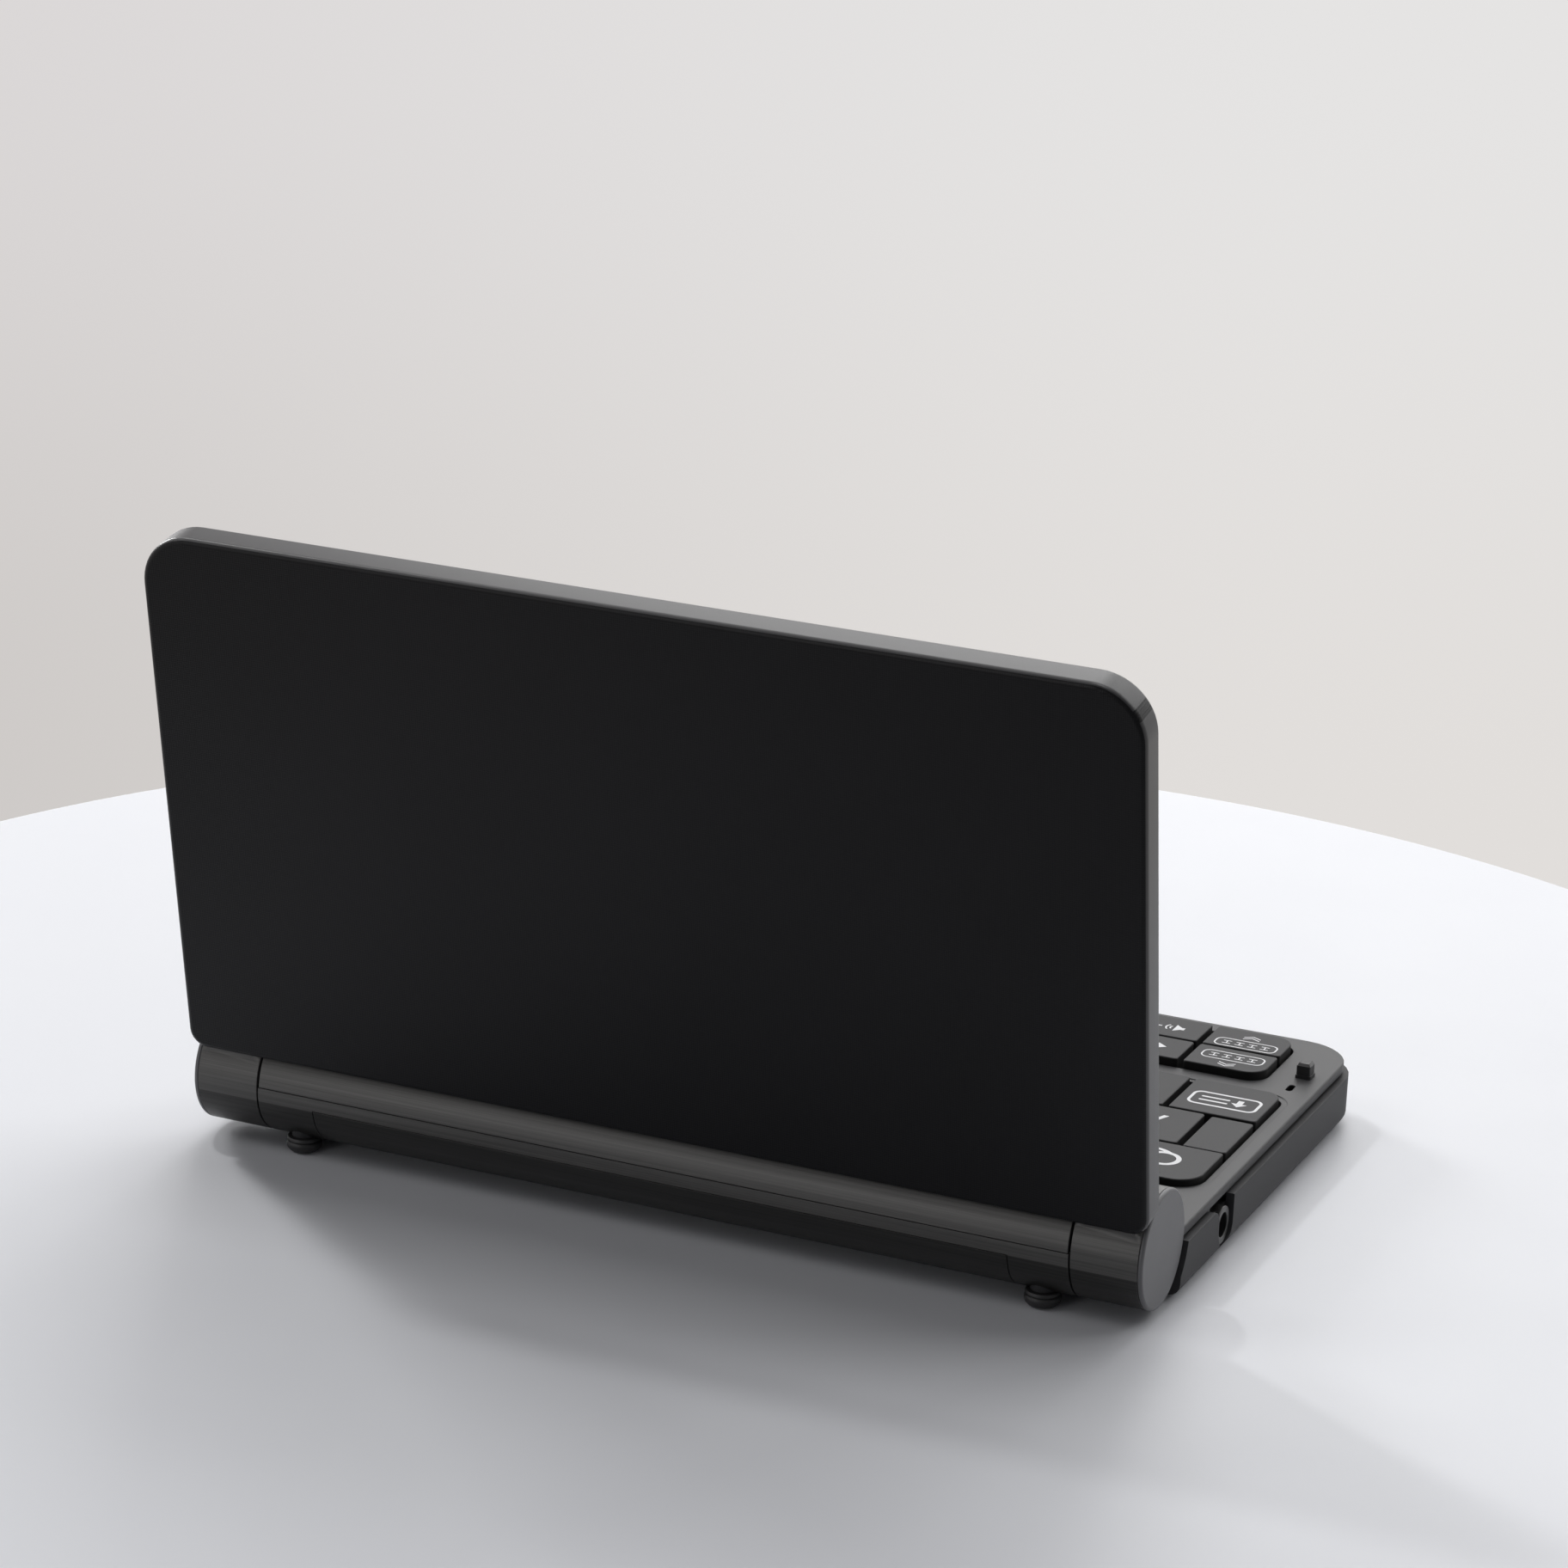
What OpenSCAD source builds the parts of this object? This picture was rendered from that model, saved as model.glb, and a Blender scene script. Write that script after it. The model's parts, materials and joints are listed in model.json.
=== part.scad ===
// Electronic dictionary with a hinged lid: a flat keyboard base, a round hinge barrel that
// holds two battery cells, and a screen lid, drawn open. Units are millimetres.
// X runs to the user's right, Y from the user to the hinge, Z up from the table.
// The base is laid out from the hinge axis, and the lid is laid out closed and then opened.

/* [Body] */
// Distance from the front row of keys to the front of the case
front_margin = 4.3; // [3.5:0.1:6]
// Radius of the front corners of the case
case_corner_r = 8.7; // [7:0.1:10]
// Height of the lower case, from its underside to the parting groove
case_h = 7.45; // [7.25:0.05:9.5]
// Wall thickness of the lower case
case_wall = 1.3; // [1:0.1:1.6]
// Floor thickness of the lower case
case_floor = 1.2; // [1:0.1:1.4]
// Radius round the bottom edge of the lower case
case_edge_r = 1.8; // [1.2:0.1:2]
// Gap between the underside of the case and the table
ground_gap = 0.55; // [0.4:0.05:0.8]

/* [Deck] */
// Drop from the hinge axis to the top of the deck
deck_drop = 0.08; // [0:0.02:0.3]
// Thickness of the deck
deck_t = 1.4; // [1:0.1:1.5]
// How far the deck stands in from the sides of the case
deck_inset = 0.9; // [0.5:0.1:1.2]
// Radius round the top edge of the deck
deck_edge_r = 0.3; // [0.2:0.1:0.8]
// Height of the parting groove between deck and case
groove_h = 0.5; // [0.2:0.05:0.6]
// Depth of the shallow step round the upper key field
step_depth = 0.15; // [0.1:0.05:0.3]
// Width of the shallow step round the upper key field
step_w = 0.9; // [0.5:0.1:1.2]

/* [Hinge barrel] */
// Wall of the barrel round the battery cells
barrel_wall = 1.05; // [0.9:0.05:1.2]
// Length of the barrel's middle beyond the battery bay, at each end
hub_len = 8.75; // [8.5:0.05:10]
// Length of each end knuckle, with its cap
knuckle_len = 10.45; // [10:0.1:12]
// How far each barrel end stands in from the side of the lid
barrel_inset = 0.55; // [0.3:0.05:1]
// Gap between a knuckle and the middle of the barrel
seam_gap = 0.35; // [0.2:0.05:0.5]
// How far the lower half of the barrel's middle reaches into that gap
seam_step = 0.15; // [0:0.05:0.15]
// Height of the barrel's parting line over the axis
split_z = 0.4; // [0.2:0.1:0.8]
// Gap between the barrel and the lid edge that wraps it
lid_relief = 0.3; // [0.2:0.05:0.5]
// Gap between a knuckle and the hollow in the base
knuckle_clear = 0.65; // [0.4:0.05:0.8]
// Radius of the hinge pins
pin_r = 2; // [1.6:0.1:2.4]
// Radial running clearance of the pins in their sleeves
pin_clear = 0.03; // [0.02:0.01:0.08]
// Outer radius of the friction sleeves
sleeve_r = 4.5; // [3.8:0.1:5]
// Thickness of a knuckle's end cap
cap_t = 0.7; // [0.6:0.1:1.6]
// Thickness of a knuckle's inner wall
knuckle_wall = 2.5; // [2:0.1:3]

/* [Lid] */
// Opening angle of the lid as drawn, from closed
lid_open = 100.2; // [60:0.1:130]
// Thickness of the lid panel
lid_t = 4.95; // [4.6:0.05:5.6]
// Distance from the hinge axis to the lid's hinge edge
lid_edge_off = 6.3; // [6:0.1:7]
// Height of the closed lid's outer face over the hinge axis
lid_face_off = 7.8; // [7.6:0.05:8.2]
// Radius of the two corners at the free edge
lid_corner_r = 7.9; // [6:0.1:10]
// Radius of the two corners at the hinge edge
lid_hinge_corner_r = 2.8; // [2:0.1:6]
// Radius round the edge of the lid's outer face
lid_edge_r = 0.9; // [0.5:0.1:1.1]
// Radius round the lid's edge on the screen side
lid_rim_r = 0.6; // [0.3:0.1:0.7]
// Thickness of the lid cover's outer skin
lid_skin = 1.2; // [1:0.1:1.4]
// Wall thickness at the rim of the lid cover
lid_wall = 1.5; // [1.2:0.1:1.8]
// Thickness of the bezel's face
bezel_t = 0.8; // [0.7:0.05:1]
// Width of the lid cover's rim round the bezel, with the gap between them
bezel_inset = 1.1; // [0.9:0.05:1.2]
// Gap between the bezel and that rim
bezel_gap = 0.1; // [0.05:0.01:0.15]

/* [Screen] */
// Distance from the sides of the lid to the picture
screen_side = 15.5; // [14:0.5:24]
// Distance from the ends of the lid's hollow to the picture
screen_end = 6.4; // [6:0.1:14]
// Thickness of the clear window
window_t = 0.9; // [0.7:0.05:1]
// How far the window laps the bezel on each side
window_lap = 2; // [1.5:0.1:2.4]
// Clearance round the window in its recess
window_clear = 0.1; // [0.05:0.05:0.2]
// Thickness of the display module
lcd_t = 1.95; // [1.6:0.05:2]
// How far the display module reaches past the opening on each side
lcd_margin = 3; // [2:0.1:3.4]

/* [Upper keys] */
// Distance from the sides of the case to the upper key field
upper_margin = 4.3; // [3.5:0.1:5]
// Distance from the hinge axis to the rearmost key edge
upper_off = 22.85; // [22.4:0.05:23.2]
// Row spacing of the upper keys
upper_pitch = 13.27; // [12.8:0.01:13.3]
// Height of the upper keys over the deck
upper_rise = 0.8; // [0.6:0.1:1.2]
// How far the two blank keys stand over the deck
filler_rise = 0.4; // [0.2:0.1:0.8]
// Radius of the upper field's rear corners
upper_corner_r = 4; // [2:0.1:5]
// Radius of the upper field's front corners
upper_front_r = 2.5; // [0.5:0.1:4]
// Gap between keys side by side
key_gap_x = 0.96; // [0.6:0.02:1.2]
// Gap between key rows
key_gap_y = 0.5; // [0.4:0.05:0.8]
// Gap between the key fields and the deck
field_gap = 0.4; // [0.3:0.05:0.5]
// Corner radius of a single key
key_r = 0.5; // [0.3:0.1:0.9]
// Travel of a pressed key
key_travel = 0.6; // [0.4:0.05:0.6]
// How far a key cap reaches under the deck
key_skirt = 0.3; // [0.2:0.05:0.4]
// Radius of the plunger under a key
plunger_r = 1.6; // [1.2:0.1:1.8]

/* [Lower keys] */
// Distance from the sides of the case to the lower key field
lower_margin = 9.5; // [9.2:0.1:10.5]
// Distance between the upper and the lower key field
fields_gap = 4.94; // [4.9:0.02:7]
// Row spacing of the lower keys
lower_pitch = 8.6; // [8.1:0.01:8.7]
// Height of the lower keys over the deck
lower_rise = 1.2; // [1:0.1:1.5]
// Radius of the lower field's corners
lower_corner_r = 3; // [2:0.1:3.5]
// Width of the keys in the two small columns at the left
small_key_w = 12.3; // [11:0.1:13]
// Width of the two tall keys left of the cursor ring
left_tall_w = 15; // [13:0.1:16]
// Width of the two tall keys right of the cursor ring
right_tall_w = 14.4; // [13:0.1:16]
// Width of the enter key inside the cursor ring
enter_w = 15; // [12:0.1:17]
// Depth of the enter key inside the cursor ring
enter_d = 7.4; // [6:0.1:8]
// Radius of the two ribs that the cursor ring rocks on
rocker_r = 0.55; // [0.4:0.05:0.6]
// Gap between the enter key and the cursor ring
enter_gap = 0.5; // [0.4:0.05:0.7]

/* [Boards] */
// Thickness of the rubber dome sheet
sheet_t = 0.4; // [0.3:0.05:0.5]
// Height of the domes over the sheet
dome_h = 0.2; // [0.15:0.05:0.3]
// Radius of a dome
dome_r = 2.4; // [2:0.1:3]
// Thickness of the main board
board_t = 0.8; // [0.6:0.1:1]
// Gap between the main board and the case walls
board_margin = 1.2; // [1:0.1:1.6]

/* [Battery] */
// Diameter of a battery cell
cell_d = 14.5; // [14.3:0.1:14.6]
// Length of a battery cell with its button
cell_len = 50.5; // [49.5:0.1:50.6]
// Clearance round the cells in their bay
cell_clear = 0.25; // [0.2:0.05:0.4]
// Length of the cell's button
cell_button_h = 1.2; // [1:0.1:1.5]
// Radius of the cell's button
cell_button_r = 2.75; // [2.5:0.05:3]
// Room at each end of the cells for a contact
contact_room = 3.4; // [3:0.1:3.6]
// Thickness of the contact plates
contact_t = 0.3; // [0.2:0.05:0.5]
// Width of the battery cover's plate in front of the barrel's axis
cover_reach = 10; // [9.6:0.1:10]
// Angle below level at which the cover's rear edge lies
cover_angle = 12; // [11:0.5:13]
// Gap round the battery cover
cover_gap = 0.1; // [0.08:0.02:0.2]

/* [Headphone jack] */
// Distance from the hinge axis to the jack
jack_off = 25.3; // [25:0.1:25.6]
// Height of the jack's axis over the case's floor
jack_rise = 2.53; // [2.4:0.01:2.6]
// Radius of the hole for the plug
jack_bore_r = 1.8; // [1.75:0.01:1.85]
// Depth of the hole for the plug
jack_bore_len = 11; // [10:0.5:12]
// Outer radius of the jack's ring
jack_ring_r = 2.8; // [2.6:0.05:2.9]
// Width of the notch in the case wall
notch_w = 6.1; // [6:0.1:6.6]
// How far the ring's face lies in from the side of the case
jack_inset = 0.45; // [0.3:0.05:0.8]

/* [Small parts] */
// Radius of the round rear feet
foot_r = 2.6; // [2.3:0.1:3]
// Distance of the rear feet from the ends of the barrel's middle
foot_in = 4.95; // [4.2:0.05:5]
// Distance of the rear feet behind the hinge axis
foot_y = 3.7; // [3.6:0.1:4.2]
// Length of a front rubber pad
pad_len = 14; // [10:0.5:18]
// Width of a front rubber pad
pad_w = 5; // [4:0.5:6]
// Distance of the front pads from the sides of the case
pad_in = 22; // [20:1:30]
// Distance of the front pads from the front of the case
pad_front = 9; // [7:0.5:12]
// Depth of the pockets for the front pads
pad_pocket = 0.4; // [0.3:0.05:0.5]
// Distance of the lid bumpers from the sides of the case
bumper_in = 4.4; // [3.8:0.1:4.6]
// Distance of the lid bumpers from the front of the case
bumper_front = 15.4; // [14.6:0.1:17]
// Height of the lid bumpers over the deck
bumper_h = 2.3; // [2:0.1:2.6]
// Width of a bumper across the case
bumper_w = 2.5; // [1.8:0.1:2.8]
// Length of a bumper along the side of the case
bumper_len = 2.6; // [2:0.1:3]
// Distance of the microphone slot from the front of the case
mic_front = 21; // [20.4:0.1:21.8]
// Distance of the microphone slot from the side of the case
mic_in = 4.8; // [4.3:0.1:5]
// Length of the microphone slot along the side of the case
mic_len = 2.6; // [1.8:0.1:3]
// Radius of the case screws' shanks
screw_r = 0.85; // [0.8:0.01:1]
// Radius of the case screws' heads
screw_head_r = 1.7; // [1.5:0.1:1.8]
// Radius of the lid screws' shanks
lid_screw_r = 0.75; // [0.7:0.01:0.85]
// Radius of the lid screws' heads
lid_screw_head_r = 1.5; // [1.3:0.1:1.6]

/* [Hidden] */
$fn = 48;
eps = 0.01;
hull_fn = 32;

// The overall width, from the cells and what lies past them, and the barrel's radius
half_w = cell_len + contact_room + hub_len + seam_gap + knuckle_len + barrel_inset;
barrel_r = cell_d / 2 + cell_clear + barrel_wall;

// The key fields' edges, and the overall length
upper_w = 2 * (half_w - upper_margin);
lower_w = 2 * (half_w - lower_margin);
upper_front = upper_off + 3 * upper_pitch - key_gap_y;
lower_off = upper_front + fields_gap;
lower_front = lower_off + 2 * lower_pitch - key_gap_y;
base_len = lower_front + front_margin;

// Heights in the base, from the hinge axis
deck_top = -deck_drop;
deck_under = deck_top - deck_t;
case_top = deck_under - groove_h;
case_bottom = case_top - case_h;
table_z = case_bottom - ground_gap;
floor_top = case_bottom + case_floor;
cap_bottom = deck_under - key_skirt;
plunger_h = 0.15;
plunger_gap = 0.05;
dome_top = cap_bottom - plunger_h - key_travel - plunger_gap;
sheet_top = dome_top - dome_h;
board_top = sheet_top - sheet_t;
board_bottom = board_top - board_t;
boss_meet = board_bottom - 0.8;

// The barrel
bay_r = barrel_r - barrel_wall;
bay_half = cell_len + contact_room;
barrel_half = half_w - barrel_inset;
middle_half = barrel_half - knuckle_len - seam_gap;
lower_half = middle_half + seam_step;
recess_r = barrel_r + knuckle_clear;
relief_r = barrel_r + lid_relief;
bay_wall_y = -bay_r - 2.7;
case_rear = -4;
knuckle_x0 = middle_half + seam_gap;
knuckle_x1 = barrel_half - cap_t;
sleeve_x0 = bay_half + 2.1;
sleeve_x1 = middle_half - 0.65;
split_gap = 0.1;

// The lid, as it lies when closed
lid_inner = lid_face_off - lid_t;
lid_rear_y = -lid_edge_off;
lid_front_y = -base_len;
bezel_z = lid_inner + bezel_t;
skin_z = lid_face_off - lid_skin;
lid_cavity_rear = -relief_r - 0.45;
lip_t = 0.8;
lip_z = bezel_z + lip_t;
screen_y = (lid_front_y + lid_cavity_rear) / 2;
screen_w = 2 * (half_w - screen_side);
screen_h = lid_cavity_rear - lid_front_y - 2 * screen_end;
lid_screw_x = half_w - 6.4;
lid_screw_y = [lid_cavity_rear - 4.2, lid_front_y + 6.4];
lid_boss_r = lid_screw_r + 0.95;
tongue_x = [knuckle_x0 + 1.5, half_w - 2.5];
tongue_front = lid_screw_y[0] - 3;

// The row's own place: middle of the bounding box on the table
lid_reach = (base_len - lid_edge_r) * -cos(lid_open)
          + (lid_face_off - lid_edge_r) * sin(lid_open) + lid_edge_r;
axis_y = (base_len - max(lid_reach, barrel_r)) / 2;
axis_z = -table_z;

// The key fields
row_1 = ["q", "w", "e", "r", "t", "y", "u", "i", "o", "p"];
row_2 = ["a", "s", "d", "f", "g", "h", "j", "k", "l"];
row_3 = ["z", "x", "c", "v", "b", "n", "m"];
upper_cols = len(row_1);
upper_col = upper_w / upper_cols;
key_d = upper_pitch - key_gap_y;
lower_left = -lower_w / 2;
small_col = small_key_w + key_gap_x;
menu_x = lower_left + 2 * small_col;
back_x = menu_x + left_tall_w + key_gap_x;
cursor_x0 = back_x + left_tall_w + key_gap_x;
star_x = lower_w / 2 - right_tall_w;
home_x = star_x - right_tall_w - key_gap_x;
cursor_x1 = home_x - key_gap_x;
cursor_mid = (cursor_x0 + cursor_x1) / 2;
lower_mid_y = -(lower_off + lower_front) / 2;

// The deck, and the case's screws and board posts, as [x, y]
deck_half = half_w - deck_inset;
deck_front = -base_len + deck_inset - 0.3;
corner_screw_in = 5.6;
corner_screw_front = 8.6;
mid_screw_in = 53;
rear_screw_in = 7.8;
rear_screw_off = 5.3;
screw_spots = [for (s = [-1, 1], p = [[half_w - corner_screw_in, -base_len + corner_screw_front],
                                      [half_w - mid_screw_in, -(upper_front + lower_off) / 2],
                                      [half_w - rear_screw_in, bay_wall_y - rear_screw_off]])
               [s * p[0], p[1]]];
post_r = 1.5;
post_in = 30;
post_rear = 10;
post_front = 9;
post_spots = [for (x = [post_in - half_w, 0, half_w - post_in],
                   y = [-upper_off - post_rear, -base_len + post_front]) [x, y]];
boss_r = screw_r + 1.35;
pilot_r = screw_r + 0.02;
head_h = 1.2;
screw_top = deck_under - 1;

// The battery cover: where its plate folds up to the barrel, and its rear edge
cover_fold = -5;
cover_rear_z = -barrel_r * sin(cover_angle);
cover_blend = case_rear + case_edge_r;

// The jack's body and the notch's round shoulder
jack_z = floor_top + jack_rise;
jack_body_w = 6.4;
jack_back = -half_w + case_wall + jack_bore_len + 1;
notch_round = 2.4;

// The speaker, with the hollow under its cone
speaker_len = 22;
speaker_w = 9.2;
speaker_h = 3.4;
speaker_rim = 1.5;
speaker_hollow = 1;
speaker_in = 32;
speaker_x = half_w - speaker_in;
speaker_y = bay_wall_y - 1 - speaker_w / 2;

// The feet, bumpers and microphone
foot_x = middle_half - foot_in;
pad_x = half_w - pad_in;
pad_y = -base_len + pad_front;
bumper_x = half_w - bumper_in;
bumper_y = -base_len + bumper_front;
bumper_stem_r = 0.8;
mic_x = half_w - mic_in;
mic_y = -base_len + mic_front;
mic_slot_r = 0.5;
mic_reach = mic_len / 2 - mic_slot_r;
foot_seat = case_bottom + 1.85;
foot_boss_r = 1.8;
foot_stem_r = 1.2;
foot_stem_h = 0.9;

// Chips under the main board as [x, y, width, depth, height], and the microphone on it
board_mid_y = -(upper_off + base_len) / 2;
chips = [[-12, board_mid_y + 6, 16, 14, 1.4], [14, board_mid_y + 6, 12, 18, 1.1],
         [-39, board_mid_y - 1, 18, 6, 2], [41, board_mid_y + 7, 22, 4, 1.2]];
mic_r = 1.9;
mic_h = 1.3;

// Keys as [name, x of left edge, distance of rear edge, width, depth, rise, corner radii]
// with the radii in the order rear left, rear right, front left, front right
plain = [key_r, key_r, key_r, key_r];
function upper_key(name, col, row, cols = 1, radii = plain) =
    let (left_gap = col > 0 ? key_gap_x / 2 : 0, right_gap = col + cols < upper_cols ? key_gap_x / 2 : 0)
    [name, -upper_w / 2 + col * upper_col + left_gap, upper_off + row * upper_pitch,
     cols * upper_col - left_gap - right_gap, key_d, upper_rise, radii];
function lower_key(name, x, w, row, rows, radii = plain) =
    [name, x, lower_off + row * lower_pitch, w, rows * lower_pitch - key_gap_y, lower_rise, radii];

rear_left = [upper_corner_r, key_r, key_r, key_r];
rear_right = [key_r, upper_corner_r, key_r, key_r];
front_left = [key_r, key_r, upper_front_r, key_r];
front_right = [key_r, key_r, key_r, upper_front_r];
upper_keys = concat(
    [for (i = [0:9]) upper_key(str("key_", row_1[i]), i, 0, 1,
                               i == 0 ? rear_left : i == 9 ? rear_right : plain)],
    [for (i = [0:8]) upper_key(str("key_", row_2[i]), i + 0.5, 1)],
    [upper_key("key_shift", 0, 2, 1, front_left)],
    [for (i = [0:6]) upper_key(str("key_", row_3[i]), i + 1, 2)],
    [upper_key("key_delete", 8, 2, 2, front_right)]);
lower_keys = [
    lower_key("key_previous", lower_left, small_key_w, 0, 1, [lower_corner_r, key_r, key_r, key_r]),
    lower_key("key_next", lower_left, small_key_w, 1, 1, [key_r, key_r, lower_corner_r, key_r]),
    lower_key("key_jump", lower_left + small_col, small_key_w, 0, 1),
    lower_key("key_speaker", lower_left + small_col, small_key_w, 1, 1),
    lower_key("key_menu", menu_x, left_tall_w, 0, 2),
    lower_key("key_back", back_x, left_tall_w, 0, 2),
    lower_key("key_home", home_x, right_tall_w, 0, 2),
    lower_key("key_star", star_x, right_tall_w, 0, 2, [key_r, lower_corner_r, key_r, lower_corner_r])];
enter_key = ["key_enter", cursor_mid - enter_w / 2, -lower_mid_y - enter_d / 2, enter_w, enter_d,
             lower_rise, [enter_d / 2 - eps, enter_d / 2 - eps, enter_d / 2 - eps, enter_d / 2 - eps]];
filler_keys = [for (col = [0, 9.5]) let (k = upper_key("filler", col, 1, 0.5))
               [k[0], k[1], k[2], k[3], k[4], filler_rise, k[6]]];
ring_spots = [[cursor_x0 + 5, lower_mid_y], [cursor_x1 - 5, lower_mid_y]];
rocker_ys = [-lower_off - 2.2, -lower_front + 2.2];
rocker_len = 2.4;
pressed_keys = concat(upper_keys, lower_keys, [enter_key]);

// ---- Shared shapes ----

module on_base() translate([0, axis_y, axis_z]) children();
module on_lid() translate([0, axis_y, axis_z]) rotate([-lid_open, 0, 0]) children();
module both_sides() for (s = [0, 1]) mirror([s, 0, 0]) children();

// A cylinder along X from x0 to x1
module rod(x0, x1, r) translate([x0, 0, 0]) rotate([0, 90, 0]) cylinder(r = r, h = x1 - x0);

module block(x0, x1, y0, y1, z0, z1) translate([x0, y0, z0]) cube([x1 - x0, y1 - y0, z1 - z0]);

// A flat outline with corner radii rear left, rear right, front left, front right
module outline(x0, x1, y0, y1, r) {
    mid = x0 + (x1 - x0) / 2;
    translate([x0, y0 + r[2]]) square([mid - x0, y1 - y0 - r[0] - r[2]]);
    translate([mid, y0 + r[3]]) square([x1 - mid, y1 - y0 - r[1] - r[3]]);
    translate([x0 + r[0], y1 - r[0]]) square([x1 - x0 - r[0] - r[1], r[0]]);
    if (r[1] > r[0]) translate([x0 + r[0], y1 - r[1]]) square([x1 - x0 - r[0] - r[1], r[1]]);
    translate([x0 + r[2], y0]) square([x1 - x0 - r[2] - r[3], r[2]]);
    if (r[3] > r[2]) translate([x0 + r[2], y0]) square([x1 - x0 - r[2] - r[3], r[3]]);
    translate([x0 + r[0], y1 - r[0]]) circle(r[0]);
    translate([x1 - r[1], y1 - r[1]]) circle(r[1]);
    translate([x0 + r[2], y0 + r[2]]) circle(r[2]);
    translate([x1 - r[3], y0 + r[3]]) circle(r[3]);
}
module plate(x0, x1, y0, y1, z0, z1, r)
    translate([0, 0, z0]) linear_extrude(z1 - z0) outline(x0, x1, y0, y1, r);

// A slab whose edge is rounded: front and rear corner radii, edge radii at the top and below
module soft_slab(half, y0, y1, z0, z1, front_r, rear_r, edge, under = 0)
    hull() both_sides() {
        translate([half - front_r, y0 + front_r, z0]) soft_disc(front_r, z1 - z0, edge, under);
        translate([half - rear_r, y1 - rear_r, z0]) soft_disc(rear_r, z1 - z0, edge, under);
    }
module soft_disc(r, h, edge, under)
    rotate_extrude($fn = hull_fn)
        polygon(concat([[0, 0]],
                       under == 0 ? [[r, 0]]
                       : [for (a = [-90:30:0]) [r - under + under * cos(a), under + under * sin(a)]],
                       [for (a = [0:22.5:90]) [r - edge + edge * cos(a), h - edge + edge * sin(a)]],
                       [[0, h]]));

// ---- The base ----

module deck_cover() color("dimgray") on_base() difference() {
    union() {
        difference() {
            soft_slab(deck_half, deck_front, case_rear, deck_under, deck_top,
                      case_corner_r - deck_inset, 2, deck_edge_r);
            both_sides() rod(middle_half, half_w + 1, recess_r);
            both_sides() block(middle_half, half_w + 1, -recess_r + 0.1, 0, -2, 1);
        }
        deck_lip();
        intersection() {
            rod(-middle_half, middle_half, barrel_r);
            union() {
                block(-half_w, half_w, -eps, barrel_r + 1, split_z, barrel_r + 1);
                block(-half_w, half_w, -barrel_r - 1, 0, deck_under, barrel_r + 1);
            }
        }
        for (p = screw_spots) translate([p[0], p[1], boss_meet])
            cylinder(r = boss_r, h = deck_under - boss_meet + 0.2);
    }
    rod(-bay_half, bay_half, bay_r);
    both_sides() rod(sleeve_x0, middle_half + 1, sleeve_r);
    key_windows();
    deck_holes();
}

// The lip under the deck that stands inside the case wall
module deck_lip() {
    lip_half = half_w - case_wall - 0.1;
    lip_front = -base_len + case_wall + 0.1;
    lip_r = case_corner_r - case_wall - 0.1;
    difference() {
        plate(-lip_half, lip_half, lip_front, bay_wall_y - 0.1, case_top - 0.9, deck_under + 0.1,
              [1, 1, lip_r, lip_r]);
        plate(-lip_half + 1, lip_half - 1, lip_front + 0.9, bay_wall_y - 1.1, case_top - 2, 1,
              [1, 1, lip_r - 1, lip_r - 1]);
        block(-half_w, -lip_half + 2, -jack_off - jack_body_w / 2 - 0.3, -jack_off + jack_body_w / 2 + 0.3,
              case_top - 2, deck_under);
    }
}

module key_windows() {
    upper_window(field_gap, -5);
    upper_window(field_gap + step_w, deck_top - step_depth);
    r = lower_corner_r + field_gap;
    plate(-lower_w / 2 - field_gap, lower_w / 2 + field_gap, -lower_front - field_gap,
          -lower_off + field_gap, -5, 1, [r, r, r, r]);
}
module upper_window(grow, z0) {
    rear_r = upper_corner_r + grow;
    front_r = upper_front_r + grow;
    plate(-upper_w / 2 - grow, upper_w / 2 + grow, -upper_front - grow, -upper_off + grow, z0, 1,
          [rear_r, rear_r, front_r, front_r]);
}

module deck_holes() {
    for (p = screw_spots) translate([p[0], p[1], boss_meet - 1])
        cylinder(r = pilot_r, h = screw_top - boss_meet + 1.2);
    both_sides() translate([bumper_x, bumper_y, deck_under - 1]) cylinder(r = bumper_stem_r, h = 6);
    for (dy = [-mic_reach, mic_reach]) translate([-mic_x, mic_y + dy, deck_under - 1])
        cylinder(r = mic_slot_r, h = 3, $fn = 24);
    block(-mic_x - mic_slot_r, -mic_x + mic_slot_r, mic_y - mic_reach, mic_y + mic_reach, deck_under - 1, 1);
}

module bottom_case() color("darkslategray") on_base() difference() {
    union() {
        mirror([0, 0, 1]) soft_slab(half_w, -base_len, case_rear, -case_top, -case_bottom,
                                    case_corner_r, 2, case_edge_r);
        intersection() {
            rod(-lower_half, lower_half, barrel_r);
            union() {
                block(-half_w, half_w, 0, barrel_r + 1, -barrel_r - 1, split_z - split_gap);
                block(-half_w, half_w, -barrel_r - 1, eps, -barrel_r - 1, deck_under - split_gap);
            }
        }
        both_sides() translate([foot_x, foot_y, foot_seat]) cylinder(r = foot_boss_r, h = 3);
    }
    case_cavity();
    both_sides() rod(lower_half, half_w + 1, recess_r);
    both_sides() block(lower_half, half_w + 1, -bay_r + 1, 1, case_bottom - 1, 1);
    rod(-bay_half, bay_half, bay_r);
    both_sides() rod(sleeve_x0, middle_half + 1, sleeve_r);
    cover_cut();
    jack_notch();
    for (p = screw_spots) translate([p[0], p[1], case_bottom - 1]) {
        cylinder(r = screw_r + 0.15, h = case_h);
        cylinder(r = screw_head_r + 0.1, h = 1 + head_h + 0.1);
    }
    both_sides() translate([foot_x, foot_y, foot_seat - 1]) cylinder(r = foot_stem_r, h = 1 + foot_stem_h);
    both_sides() pad_shape(0.1, case_bottom - 1, case_bottom + pad_pocket);
    speaker_slots();
}

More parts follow.
